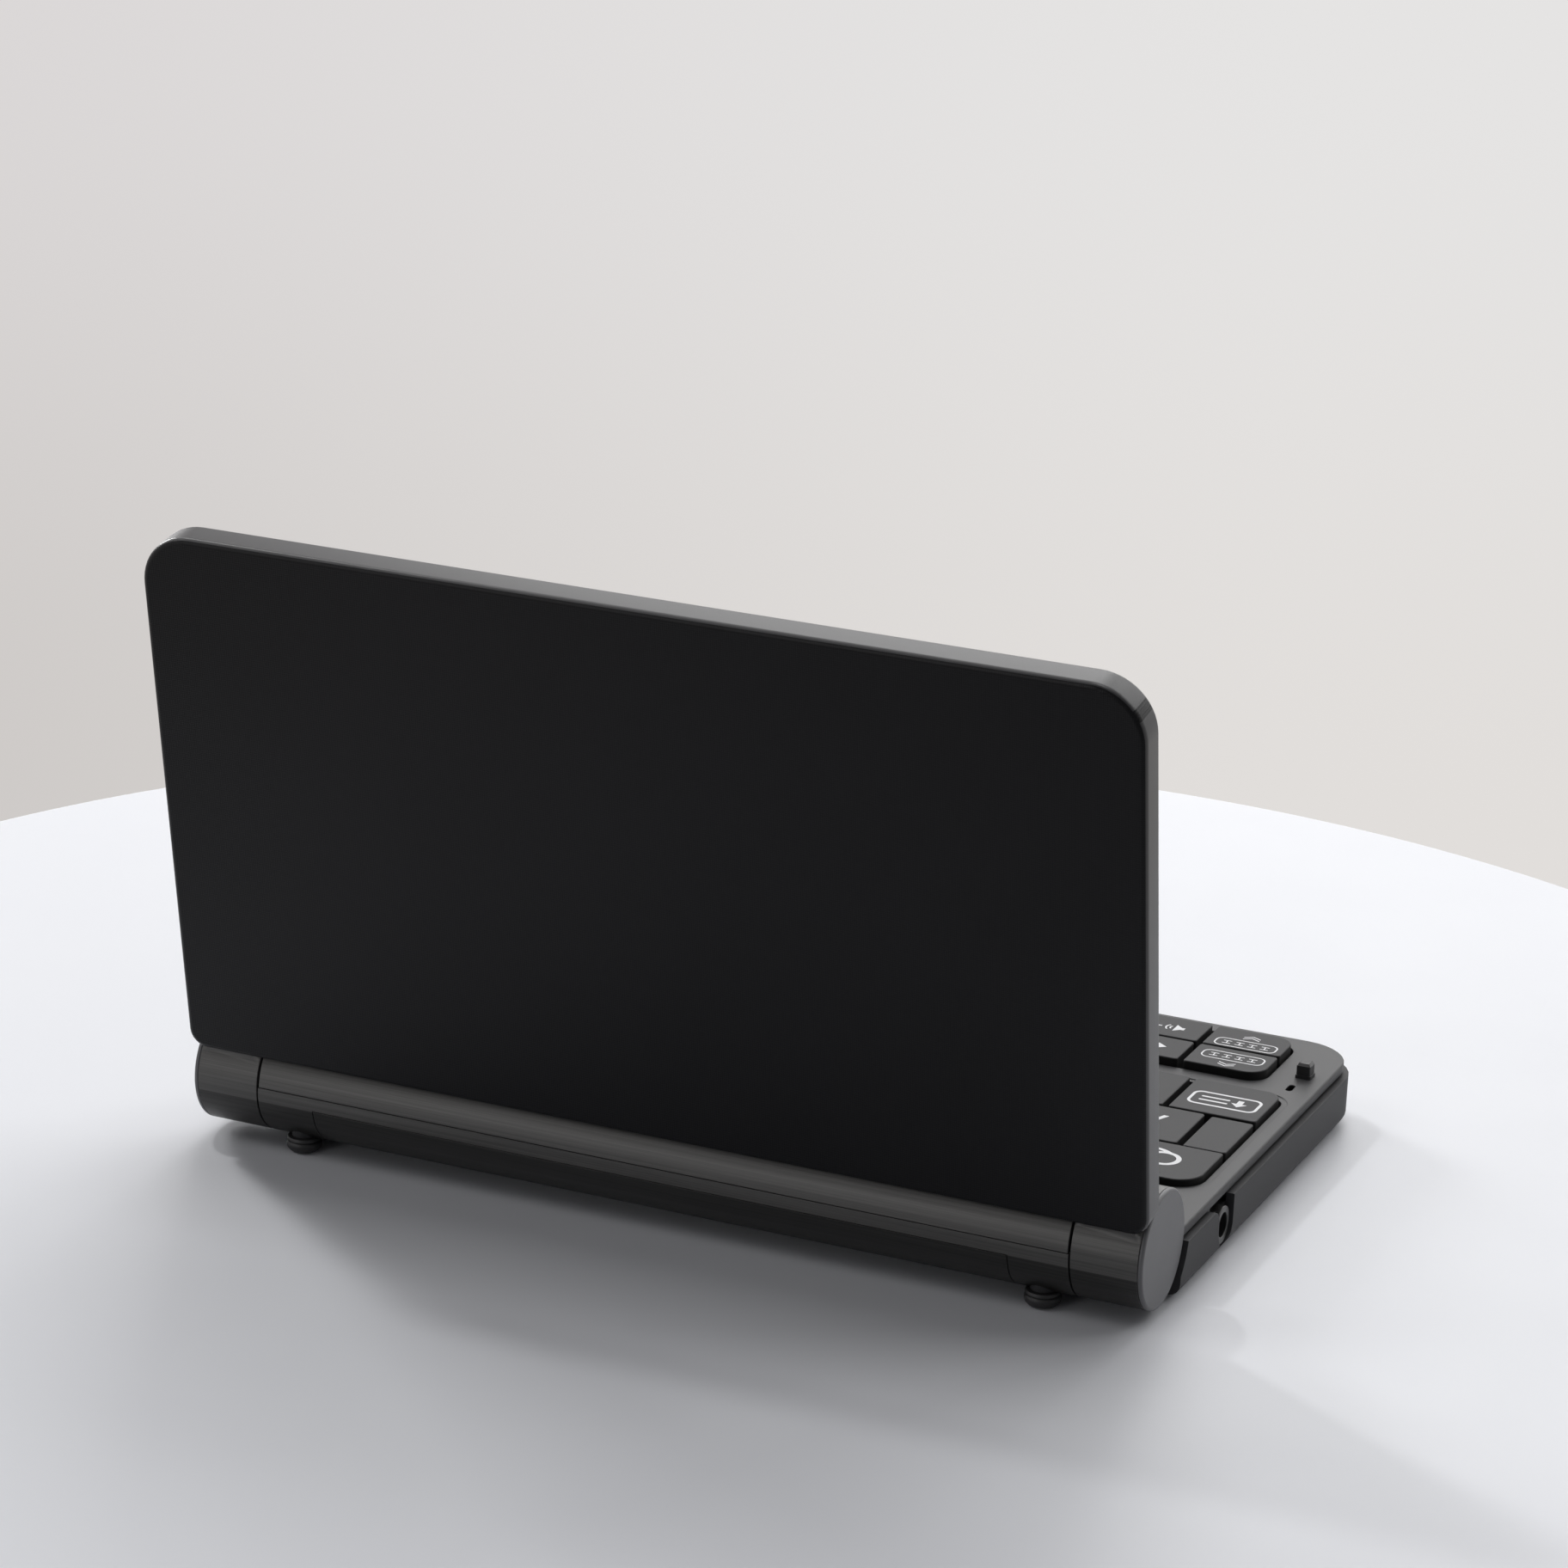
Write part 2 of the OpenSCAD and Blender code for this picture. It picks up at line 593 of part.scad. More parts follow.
module case_cavity() difference() {
    r = case_corner_r - case_wall;
    plate(-half_w + case_wall, half_w - case_wall, -base_len + case_wall, bay_wall_y,
          floor_top, 1, [1, 1, r, r]);
    for (p = screw_spots) translate([p[0], p[1], floor_top - 1]) cylinder(r = boss_r, h = boss_meet - floor_top + 1);
    for (p = post_spots) translate([p[0], p[1], floor_top - 1]) cylinder(r = post_r, h = board_bottom - floor_top + 1);
}

// What the battery cover's opening takes out of the case
module cover_cut() {
    block(-bay_half, bay_half, cover_fold, barrel_r + 1, case_bottom - 1, cover_rear_z + cover_gap);
    block(-bay_half, bay_half, -cover_reach - cover_gap, cover_fold + eps, case_bottom - 1, floor_top + cover_gap);
}

module jack_notch() {
    translate([-half_w - 1, -jack_off, jack_z]) rotate([0, 90, 0])
        cylinder(r = notch_w / 2, h = case_wall + 1 + eps);
    block(-half_w - 1, -half_w + case_wall + eps, -jack_off - notch_w / 2, -jack_off + notch_w / 2,
          jack_z, 1);
    difference() {
        block(-half_w - 1, -half_w + case_wall + eps, -jack_off, -jack_off + notch_w / 2 + notch_round,
              case_top - notch_round, 1);
        translate([-half_w - 2, -jack_off + notch_w / 2 + notch_round, case_top - notch_round]) rotate([0, 90, 0])
            cylinder(r = notch_round, h = case_wall + 4);
    }
}

module battery_cover() color("darkslategray") on_base() {
    half = bay_half - cover_gap;
    difference() {
        rotate([90, 0, 90]) linear_extrude(2 * half, center = true) cover_section();
        for (x = [-16:4:16])
            block(x - 0.6, x + 0.6, -cover_reach + 1.2, cover_fold, case_bottom - 1, case_bottom + 0.3);
    }
}

// The cover's section across the barrel, drawn with Y to the right and Z up
module cover_section() difference() {
    union() {
        intersection() {
            circle(barrel_r);
            translate([cover_fold + cover_gap, -barrel_r - 1])
                square([2 * barrel_r, barrel_r + 1 + cover_rear_z]);
        }
        polygon([[-cover_reach, floor_top], [-cover_reach, case_bottom], [case_rear - 0.6, case_bottom],
                 [cover_blend, -sqrt(barrel_r * barrel_r - cover_blend * cover_blend)],
                 [cover_blend, -bay_r + 0.5], [cover_fold + cover_gap, -bay_r + 0.5],
                 [cover_fold + cover_gap, floor_top]]);
    }
    circle(bay_r);
}

module blank_keys() color("dimgray") on_base() for (k = filler_keys) key_body(k, 0);

module dome_sheet() color("lightgray") on_base() difference() {
    union() {
        plate(-upper_w / 2, upper_w / 2, -upper_front - 1, -upper_off, board_top, sheet_top, [1, 1, 1, 1]);
        plate(-lower_w / 2, lower_w / 2, -lower_front, -upper_front, board_top, sheet_top, [0.5, 0.5, 2, 2]);
        for (k = pressed_keys) for (p = plunger_spots(k)) translate([p[0], p[1], board_top])
            cylinder(r = dome_r, h = dome_top - board_top, $fn = 24);
        for (p = ring_spots) translate([p[0], p[1], board_top])
            cylinder(r = 1.5, h = dome_top - board_top, $fn = 24);
    }
    for (p = screw_spots) translate([p[0], p[1], board_bottom]) cylinder(r = boss_r + 0.3, h = 3);
}

module main_board() color("darkgreen") on_base() {
    edge = half_w - case_wall - board_margin;
    difference() {
        plate(-edge, edge, -base_len + case_wall + board_margin, -upper_off + 1, board_bottom, board_top,
              [1, 1, 6, 6]);
        for (p = screw_spots) translate([p[0], p[1], board_bottom - 1]) cylinder(r = boss_r + 0.3, h = 3);
        block(-half_w, jack_back + 0.4, -jack_off - jack_body_w / 2 - 0.4, 0, board_bottom - 1, board_top + 1);
    }
    translate([-mic_x, mic_y, board_top - eps]) cylinder(r = mic_r, h = mic_h);
    for (c = chips) block(c[0] - c[2] / 2, c[0] + c[2] / 2, c[1] - c[3] / 2, c[1] + c[3] / 2,
                          board_bottom - c[4], board_bottom + eps);
}

module headphone_jack() color("black") on_base() difference() {
    union() {
        block(-half_w + case_wall + eps, jack_back, -jack_off - jack_body_w / 2, -jack_off + jack_body_w / 2,
              floor_top + eps, board_top - 0.1);
        translate([-half_w + jack_inset, -jack_off, jack_z]) rotate([0, 90, 0])
            cylinder(r = jack_ring_r, h = case_wall);
    }
    translate([-half_w - 1, -jack_off, jack_z]) rotate([0, 90, 0])
        cylinder(r = jack_bore_r, h = 1 + jack_inset + jack_bore_len);
}

module speaker() color("gray") on_base() difference() {
    speaker_shape(0, floor_top, floor_top + speaker_h);
    speaker_shape(speaker_rim, floor_top - 1, floor_top + speaker_hollow);
}
module speaker_shape(rim, z0, z1) {
    r = speaker_w / 2 - rim - 0.1;
    plate(speaker_x - speaker_len / 2 + rim, speaker_x + speaker_len / 2 - rim,
          speaker_y - speaker_w / 2 + rim, speaker_y + speaker_w / 2 - rim, z0, z1, [r, r, r, r]);
}
module speaker_slots() for (i = [-3:3]) translate([speaker_x + 2.4 * i, speaker_y, case_bottom - 1]) {
    block(-0.5, 0.5, -2.4, 2.4, 0, 3);
    for (s = [-1, 1]) translate([0, 2.4 * s, 0]) cylinder(r = 0.5, h = 3, $fn = 24);
}

module battery_cells() color("goldenrod") on_base() for (x = [-cell_len, 0]) {
    rod(x, x + cell_len - cell_button_h, cell_d / 2);
    rod(x + cell_len - cell_button_h - eps, x + cell_len, cell_button_r);
}

module battery_contacts() color("silver") on_base() {
    side = bay_r * 0.7;
    both_sides() block(bay_half - contact_t, bay_half, -side, side, -side, side);
    translate([cell_len, 0, 0]) rotate([0, 90, 0]) cylinder(r1 = 1.6, r2 = 2.4, h = contact_room - contact_t + eps);
    translate([-bay_half + contact_t - eps, 0, 0]) rotate([0, 90, 0])
        cylinder(r1 = 4.4, r2 = 2.6, h = contact_room - contact_t + eps);
}

module hinge_sleeves() color("silver") on_base() both_sides() difference() {
    rod(sleeve_x0, sleeve_x1, sleeve_r);
    rod(sleeve_x0 - 1, sleeve_x1 + 1, pin_r + pin_clear);
}

module case_screws() color("silver") on_base() for (p = screw_spots)
    translate([p[0], p[1], case_bottom + 0.1]) difference() {
        union() {
            cylinder(r = screw_head_r, h = head_h);
            cylinder(r = screw_r, h = screw_top - case_bottom - 0.1);
        }
        for (a = [0, 90]) rotate([0, 0, a]) block(-0.25, 0.25, -1, 1, -0.1, 0.6);
    }

module rubber_feet() color("black") on_base() {
    both_sides() {
        difference() {
            translate([foot_x, foot_y, 0]) rear_foot();
            rod(0, middle_half, barrel_r + eps);
        }
        translate([foot_x, foot_y, foot_seat - 0.5]) cylinder(r = foot_stem_r, h = 0.5 + foot_stem_h);
    }
    both_sides() pad_shape(0, table_z, case_bottom + pad_pocket);
}
module rear_foot() {
    h = foot_seat - table_z;
    rotate_extrude() polygon([[0, foot_seat], [foot_r - 0.35, foot_seat], [foot_r - 0.15, foot_seat - 0.2],
                              [foot_r - 0.15, foot_seat - 0.22 * h], [foot_r - 0.35, foot_seat - 0.25 * h],
                              [foot_r - 0.35, foot_seat - 0.29 * h], [foot_r - 0.1, foot_seat - 0.33 * h],
                              [foot_r, foot_seat - 0.45 * h], [foot_r, foot_seat - 0.62 * h],
                              [foot_r - 0.2, foot_seat - 0.8 * h], [foot_r - 0.55, foot_seat - 0.94 * h],
                              [foot_r - 0.9, table_z], [0, table_z]]);
}
module pad_shape(grow, z0, z1) {
    r = pad_w / 2 + grow - eps;
    plate(pad_x - pad_len / 2 - grow, pad_x + pad_len / 2 + grow, pad_y - pad_w / 2 - grow,
          pad_y + pad_w / 2 + grow, z0, z1, [r, r, r, r]);
}

module lid_bumpers() color("black") on_base() both_sides() translate([bumper_x, bumper_y, 0]) {
    for (step = [0, 0.3])
        block(-bumper_w / 2 + step, bumper_w / 2 - step, -bumper_len / 2 + step, bumper_len / 2 - step,
              deck_top, deck_top + bumper_h - 0.3 + step);
    translate([0, 0, deck_under - 0.3]) cylinder(r = bumper_stem_r, h = deck_t + 0.4);
}

// ---- Keys ----

// The plungers under a key: one, or two under a wide key
function plunger_spots(k) =
    let (x = k[1] + k[3] / 2, y = -k[2] - k[4] / 2)
    k[3] > 1.6 * upper_col ? [[x - k[3] / 4, y], [x + k[3] / 4, y]] : [[x, y]];
module key_body(k, plungers = 1) {
    plate(k[1], k[1] + k[3], -k[2] - k[4], -k[2], cap_bottom, deck_top + k[5], k[6]);
    if (plungers > 0) for (p = plunger_spots(k)) translate([p[0], p[1], cap_bottom - plunger_h])
        cylinder(r = plunger_r, h = plunger_h + eps, $fn = 24);
    else translate([k[1] + k[3] / 2, -k[2] - k[4] / 2, sheet_top])
        cylinder(r = plunger_r, h = cap_bottom - sheet_top + eps, $fn = 24);
}

module cursor_ring() color("dimgray") on_base() difference() {
    union() {
        plate(cursor_x0, cursor_x1, -lower_front, -lower_off, cap_bottom, deck_top + lower_rise,
              [key_r, key_r, key_r, key_r]);
        for (p = ring_spots) translate([p[0], p[1], cap_bottom - plunger_h])
            cylinder(r = 1, h = plunger_h + eps, $fn = 24);
        for (y = rocker_ys) translate([cursor_mid, y + rocker_len / 2, cap_bottom]) rotate([90, 0, 0])
            cylinder(r = rocker_r, h = rocker_len, $fn = 24);
    }
    r = enter_d / 2 + enter_gap - eps;
    plate(cursor_mid - enter_w / 2 - enter_gap, cursor_mid + enter_w / 2 + enter_gap,
          lower_mid_y - enter_d / 2 - enter_gap, lower_mid_y + enter_d / 2 + enter_gap,
          cap_bottom - 1, 3, [r, r, r, r]);
}

// ---- The lid, laid out closed ----

module lid_back_cover() color("#1c1c1e") on_lid() difference() {
    soft_slab(half_w, lid_front_y, lid_rear_y, lid_inner, lid_face_off, lid_corner_r, lid_hinge_corner_r,
              lid_edge_r, lid_rim_r);
    bezel_shape(bezel_gap, lid_inner - 1, bezel_z);
    difference() {
        lid_pocket(0, bezel_z - 1, skin_z);
        lid_screw_places() translate([0, 0, lip_z]) cylinder(r = lid_boss_r, h = skin_z - lip_z + 1);
    }
    rod(-half_w - 1, half_w + 1, relief_r);
    both_sides() block(tongue_x[0] - 0.1, tongue_x[1] + 0.1, lid_cavity_rear - 2, 0, lip_z, skin_z);
    lid_screw_places() translate([0, 0, lip_z - 1]) cylinder(r = lid_screw_r + 0.02, h = skin_z - lip_z + 0.9);
}

// The hollow of the lid, smaller by a gap all round
module lid_pocket(gap, z0, z1) {
    r = lid_corner_r - lid_wall - gap;
    plate(-half_w + lid_wall + gap, half_w - lid_wall - gap, lid_front_y + lid_wall + gap,
          lid_cavity_rear - gap, z0, z1, [2, 2, r, r]);
}
module lid_screw_places() both_sides() for (y = lid_screw_y) translate([lid_screw_x, y, 0]) children();

// The bezel's outline, larger by a gap all round
module bezel_shape(gap, z0, z1) {
    inset = bezel_inset - gap;
    r = lid_corner_r - inset;
    q = lid_hinge_corner_r - inset;
    plate(-half_w + inset, half_w - inset, lid_front_y + inset, lid_rear_y - inset, z0, z1, [q, q, r, r]);
}

module lid_bezel() color("#303032") on_lid() difference() {
    union() {
        bezel_shape(0, lid_inner, bezel_z);
        lid_pocket(0.1, bezel_z - eps, lip_z);
    }
    rod(-half_w - 1, half_w + 1, relief_r);
    screen_plate(window_lap + window_clear, lid_inner - 1, lid_inner + window_t);
    screen_plate(0, lid_inner - 1, lip_z + 1);
    lid_screw_places() {
        translate([0, 0, lid_inner - 1]) cylinder(r = lid_screw_head_r + 0.1, h = 1 + 0.9);
        translate([0, 0, lid_inner - 1]) cylinder(r = lid_screw_r + 0.1, h = 4);
    }
}

// A rectangle round the picture, larger by a margin all round
module screen_plate(margin, z0, z1)
    plate(-screen_w / 2 - margin, screen_w / 2 + margin, screen_y - screen_h / 2 - margin,
          screen_y + screen_h / 2 + margin, z0, z1, [1, 1, 1, 1]);

module screen_window() color("lightblue", 0.5) on_lid()
    screen_plate(window_lap, lid_inner, lid_inner + window_t);

module display_module() color("darkolivegreen") on_lid() {
    screen_plate(lcd_margin, lip_z, lip_z + lcd_t);
    block(-12, 12, screen_y + screen_h / 2 + lcd_margin - eps, screen_y + screen_h / 2 + lcd_margin + 2,
          lip_z, lip_z + 1);
}

module lid_screws() color("silver") on_lid() lid_screw_places() translate([0, 0, lid_inner + 0.05]) difference() {
    union() {
        cylinder(r = lid_screw_head_r, h = 0.85);
        cylinder(r = lid_screw_r, h = skin_z - lid_inner - 0.4);
    }
    for (a = [0, 90]) rotate([0, 0, a]) block(-0.2, 0.2, -0.9, 0.9, -0.1, 0.4);
}

module knuckles() color("gray") on_lid() both_sides() difference() {
    union() {
        rod(knuckle_x0, knuckle_x1, barrel_r);
        block(tongue_x[0], tongue_x[1], tongue_front, -barrel_r + 3, lip_z + 0.05, skin_z - 0.1);
    }
    rod(knuckle_x0 + knuckle_wall, knuckle_x1 + 1, barrel_r - 1.25);
    rod(knuckle_x0 - 1, knuckle_x1, pin_r);
    translate([lid_screw_x, lid_screw_y[0], 0]) cylinder(r = lid_boss_r + 0.1, h = lid_face_off);
}

module knuckle_caps() color("darkgray") on_lid() both_sides() {
    translate([knuckle_x1, 0, 0]) rotate([0, 90, 0]) rotate_extrude()
        polygon([[0, 0], [barrel_r, 0], [barrel_r, cap_t - 0.35], [barrel_r - 0.1, cap_t - 0.12],
                 [barrel_r - 0.35, cap_t], [0, cap_t]]);
    difference() {
        rod(knuckle_x1 - 2, knuckle_x1 + eps, barrel_r - 1.3);
        rod(knuckle_x1 - 3, knuckle_x1, barrel_r - 2.3);
    }
}

module hinge_pins() color("silver") on_lid() both_sides() {
    rod(sleeve_x0 + 0.3, knuckle_x0 + knuckle_wall + eps, pin_r);
    rod(knuckle_x0 + knuckle_wall, knuckle_x0 + knuckle_wall + 1.2, pin_r + 1.4);
}

// ---- What is drawn ----

deck_cover();
bottom_case();
battery_cover();
blank_keys();
dome_sheet();
main_board();
headphone_jack();
speaker();
battery_cells();
battery_contacts();
hinge_sleeves();
case_screws();
rubber_feet();
lid_bumpers();
lid_back_cover();
lid_bezel();
screen_window();
display_module();
knuckles();
knuckle_caps();
hinge_pins();
lid_screws();
cursor_ring();
for (k = pressed_keys)
    color("dimgray") on_base() key_body(k);
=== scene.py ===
import json
import math

import bmesh
import bpy
from mathutils import Matrix, Vector


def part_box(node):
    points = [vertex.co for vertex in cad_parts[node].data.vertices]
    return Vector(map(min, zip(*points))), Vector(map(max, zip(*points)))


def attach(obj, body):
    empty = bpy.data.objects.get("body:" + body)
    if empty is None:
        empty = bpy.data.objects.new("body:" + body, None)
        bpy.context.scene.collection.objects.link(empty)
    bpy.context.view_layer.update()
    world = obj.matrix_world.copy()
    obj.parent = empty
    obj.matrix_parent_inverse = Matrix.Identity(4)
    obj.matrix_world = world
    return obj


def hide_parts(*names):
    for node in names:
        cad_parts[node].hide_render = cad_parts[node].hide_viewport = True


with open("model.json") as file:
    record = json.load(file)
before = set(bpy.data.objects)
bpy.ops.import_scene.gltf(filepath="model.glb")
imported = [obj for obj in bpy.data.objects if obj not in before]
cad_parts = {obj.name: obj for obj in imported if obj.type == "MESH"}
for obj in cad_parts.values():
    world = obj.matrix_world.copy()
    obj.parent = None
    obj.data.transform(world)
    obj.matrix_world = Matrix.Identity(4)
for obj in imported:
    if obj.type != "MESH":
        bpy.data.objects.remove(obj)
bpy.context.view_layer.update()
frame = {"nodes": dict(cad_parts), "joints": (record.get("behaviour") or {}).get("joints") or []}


# ---- Camera ----
# A long lens behind the opened lid, level with its free edge, over the corner where the
# headphone socket is. Its place and turn are the ones fitted to the photograph.
camera_sees = bpy.data.cameras.new("camera")
camera_sees.lens = 115.12
camera_sees.sensor_width = 36
camera_sees.clip_start = 0.01
camera_sees.clip_end = 20
camera = bpy.data.objects.new("camera", camera_sees)
to_right = Vector((-0.91332, -0.40553, 0.03742))
to_top = Vector((0.15660, -0.26488, 0.95149))
to_back = Vector((-0.37594, 0.87487, 0.30542))
camera.matrix_world = Matrix.Translation((-0.27283, 0.63358, 0.27673)) @ Matrix(
    (to_right, to_top, to_back)).transposed().to_4x4()
bpy.context.scene.collection.objects.link(camera)
bpy.context.scene.camera = camera
bpy.context.scene.view_settings.view_transform = "Standard"


# ---- Turntable ----
# The object stands on a round white photo turntable, a laminated disc with a soft rim. It is
# the floor of the picture and no part of the object.
class Wire:
    """A socket of a shader tree. Arithmetic on it adds the tree's Math nodes."""

    def __init__(self, tree, socket=None):
        self.tree, self.socket = tree, socket

    def node(self, kind, settings, inputs, out=0):
        made = self.tree.nodes.new("ShaderNode" + kind)
        for name, value in settings.items():
            setattr(made, name, value)
        for name, value in inputs.items():
            if isinstance(value, Wire):
                self.tree.links.new(value.socket, made.inputs[name])
            else:
                made.inputs[name].default_value = value
        return Wire(self.tree, made.outputs[out] if made.outputs else None)

    def math(self, operation, *values):
        return self.node("Math", {"operation": operation}, dict(enumerate(values)))

    def __add__(self, other): return self.math("ADD", self, other)
    def __radd__(self, other): return self.math("ADD", other, self)
    def __sub__(self, other): return self.math("SUBTRACT", self, other)
    def __rsub__(self, other): return self.math("SUBTRACT", other, self)
    def __mul__(self, other): return self.math("MULTIPLY", self, other)
    def __rmul__(self, other): return self.math("MULTIPLY", other, self)
    def __truediv__(self, other): return self.math("DIVIDE", self, other)
    def __gt__(self, other): return self.math("GREATER_THAN", self, other)
    def __lt__(self, other): return self.math("LESS_THAN", self, other)

    def parts(self):
        split = self.node("SeparateXYZ", {}, {0: self}).socket.node
        return [Wire(self.tree, out) for out in split.outputs]

    def stretched(self, x, y, z):
        return self.node("VectorMath", {"operation": "MULTIPLY"}, {0: self, 1: (x, y, z)})

    def noise(self, scale, detail=2.0):
        return self.node("TexNoise", {}, {"Vector": self, "Scale": scale, "Detail": detail})

    def between(self, low, high):
        return self.node("MapRange", {"interpolation_type": "SMOOTHSTEP"},
                         {"Value": self, "From Min": low, "From Max": high})

    def blend(self, first, second):
        return self.node("Mix", {"data_type": "RGBA"}, {0: self, 6: first, 7: second}, 2)

    def bump(self, strength=1.0):
        return self.node("Bump", {}, {"Height": self, "Strength": strength, "Distance": 0.001})


def tint(red, green=None, blue=None):
    return (red, red if green is None else green, red if blue is None else blue, 1)


hinge = next(joint for joint in frame["joints"] if joint["name"] == "lid_hinge")
hinge_at = Vector(hinge["pos_m"])
lid_turn = math.radians(hinge["range_deg"][0])


def finish(name, recipe, turn=0.0):
    """A material whose recipe gets the place on the piece in mm from the hinge axis."""
    made = bpy.data.materials.new(name)
    made.use_nodes = True
    made.node_tree.nodes.clear()
    sheet = Wire(made.node_tree)
    spot = sheet.node("TexCoord", {}, {}, "Object")
    place = sheet.node("Mapping", {"vector_type": "TEXTURE"}, {
        "Vector": spot, "Location": hinge_at, "Rotation": (turn, 0, 0), "Scale": (0.001,) * 3})
    shader = recipe(place)
    if isinstance(shader, dict):
        shader = sheet.node("BsdfPrincipled", {}, shader)
    sheet.node("OutputMaterial", {}, {"Surface": shader})
    return made


def laminate(place):
    cloud = place.noise(0.02, 3)
    return {"Base Color": cloud.blend(tint(0.84, 0.85, 0.89), tint(0.87, 0.88, 0.91)),
            "Roughness": 0.45 + 0.1 * place.noise(0.05),
            "Normal": (0.004 * place.noise(1.5)).bump(0.5)}


def pick(piece, kind, wanted):
    """Opens piece for editing with just the wanted vertices, edges or faces selected."""
    bpy.ops.object.select_all(action="DESELECT")
    piece.select_set(True)
    bpy.context.view_layer.objects.active = piece
    bpy.ops.object.mode_set(mode="EDIT")
    bpy.ops.mesh.select_mode(type=kind)
    bpy.ops.mesh.select_all(action="DESELECT")
    shell = bmesh.from_edit_mesh(piece.data)
    parts = {"VERT": shell.verts, "EDGE": shell.edges, "FACE": shell.faces}[kind]
    for part in [part for part in parts if wanted(part)]:
        part.select_set(True)
    shell.select_flush_mode()
    bmesh.update_edit_mesh(piece.data)


def done():
    bpy.ops.object.mode_set(mode="OBJECT")


def middle(edge):
    return (edge.verts[0].co + edge.verts[1].co) / 2


def smooth(piece, angle=32):
    bpy.ops.object.select_all(action="DESELECT")
    piece.select_set(True)
    bpy.context.view_layer.objects.active = piece
    bpy.ops.object.shade_smooth_by_angle(angle=math.radians(angle))
    flat = piece.modifiers.new("flat", "WEIGHTED_NORMAL")
    flat.keep_sharp = True
    bpy.ops.object.modifier_apply(modifier="flat")


disc_radius, disc_middle, disc_depth = 0.187, (0.003, -0.005), 0.022
bpy.ops.object.select_all(action="DESELECT")
bpy.ops.mesh.primitive_cylinder_add(vertices=256, radius=disc_radius, depth=disc_depth,
                                    location=(*disc_middle, -disc_depth / 2))
turntable = bpy.context.object
turntable.name = "turntable"
bpy.ops.object.transform_apply()
pick(turntable, "EDGE", lambda edge: middle(edge).z > -0.001)
bpy.ops.mesh.bevel(offset=0.0015, segments=4, affect="EDGES")
done()
smooth(turntable)
turntable.data.materials.append(finish("white_laminate", laminate))


# ---- Room and lights ----
# A pale warm wall closes the picture, and reflections show it darker behind the lid. Most soft
# boxes stand on the user's side, so the lid throws its wide shadow towards the camera, and a
# small one on the user's right draws the darker core of that shadow.
room = bpy.data.worlds.new("room")
room.use_nodes = True
room.node_tree.nodes.clear()
air = Wire(room.node_tree)
way = air.node("TexCoord", {}, {}, "Generated")
towards_right = way.node("VectorMath", {"operation": "DOT_PRODUCT"},
                         {0: way, 1: to_right}, 1)
way_x, way_y, way_z = way.parts()
height = way_z.between(-0.31, -0.15)
wall = towards_right.between(-0.22, 0.12).blend(
    height.blend(tint(0.605, 0.580, 0.565), tint(0.70, 0.675, 0.675)),
    height.blend(tint(0.755, 0.730, 0.710), tint(0.785, 0.775, 0.770)))
glow = way.node("VectorMath", {"operation": "DOT_PRODUCT"}, {0: way, 1: (-0.25, -0.62, 0.74)}, 1)
seen = air.node("LightPath", {}, {}, "Is Camera Ray")
gloss = air.node("LightPath", {}, {}, "Is Glossy Ray")
through = air.node("LightPath", {}, {}, "Is Transmission Ray")
darker_behind = 0.85
open_side = 1 - darker_behind * way_y.between(0.0, 0.3) * (1 - way_x.between(0.22, 0.55))
mirrored = (gloss + through) * open_side
shown = (seen + mirrored).math("MINIMUM", seen + mirrored, 1.0)
wall_light = air.node("Background", {}, {"Color": wall, "Strength": 1.0})
fill = glow.between(-0.9, 0.9).blend(tint(0.10, 0.10, 0.105), tint(0.11, 0.11, 0.115))
fill_light = air.node("Background", {}, {"Color": fill, "Strength": 1.0})
both = air.node("MixShader", {}, {0: shown, 1: fill_light, 2: wall_light})
air.node("OutputWorld", {}, {"Surface": both})
bpy.context.scene.world = room

# Each box by its bearing from the user's side, its height angle, its watts and its side in metres
lamp_reach = 1.2
soft_boxes = (
    (60, 20, 5.0, 0.3), (-20, 20, 1.7, 0.5), (20, 20, 0.65, 0.5), (0, 30, 1.6, 0.5),
    (20, 45, 2.3, 0.5), (-20, 45, 1.0, 0.5), (72, 56, 1.8, 0.08), (-60, 45, 1.7, 0.5),
    (120, 45, 1.3, 0.5), (0, 89.9, 1.8, 0.3), (160, 12, 1.0, 0.4))
for number, (bearing, rise, power, side) in enumerate(soft_boxes):
    bearing, rise = math.radians(bearing), math.radians(rise)
    lamp = bpy.data.lights.new(f"soft_box_{number}", "AREA")
    lamp.shape, lamp.size, lamp.size_y, lamp.energy = "RECTANGLE", side, side, power
    hung = bpy.data.objects.new(lamp.name, lamp)
    hung.location = (lamp_reach * math.cos(rise) * math.sin(bearing),
                     -lamp_reach * math.cos(rise) * math.cos(bearing),
                     lamp_reach * math.sin(rise))
    hung.rotation_euler = (-hung.location).to_track_quat("-Z", "Y").to_euler()
    bpy.context.scene.collection.objects.link(hung)


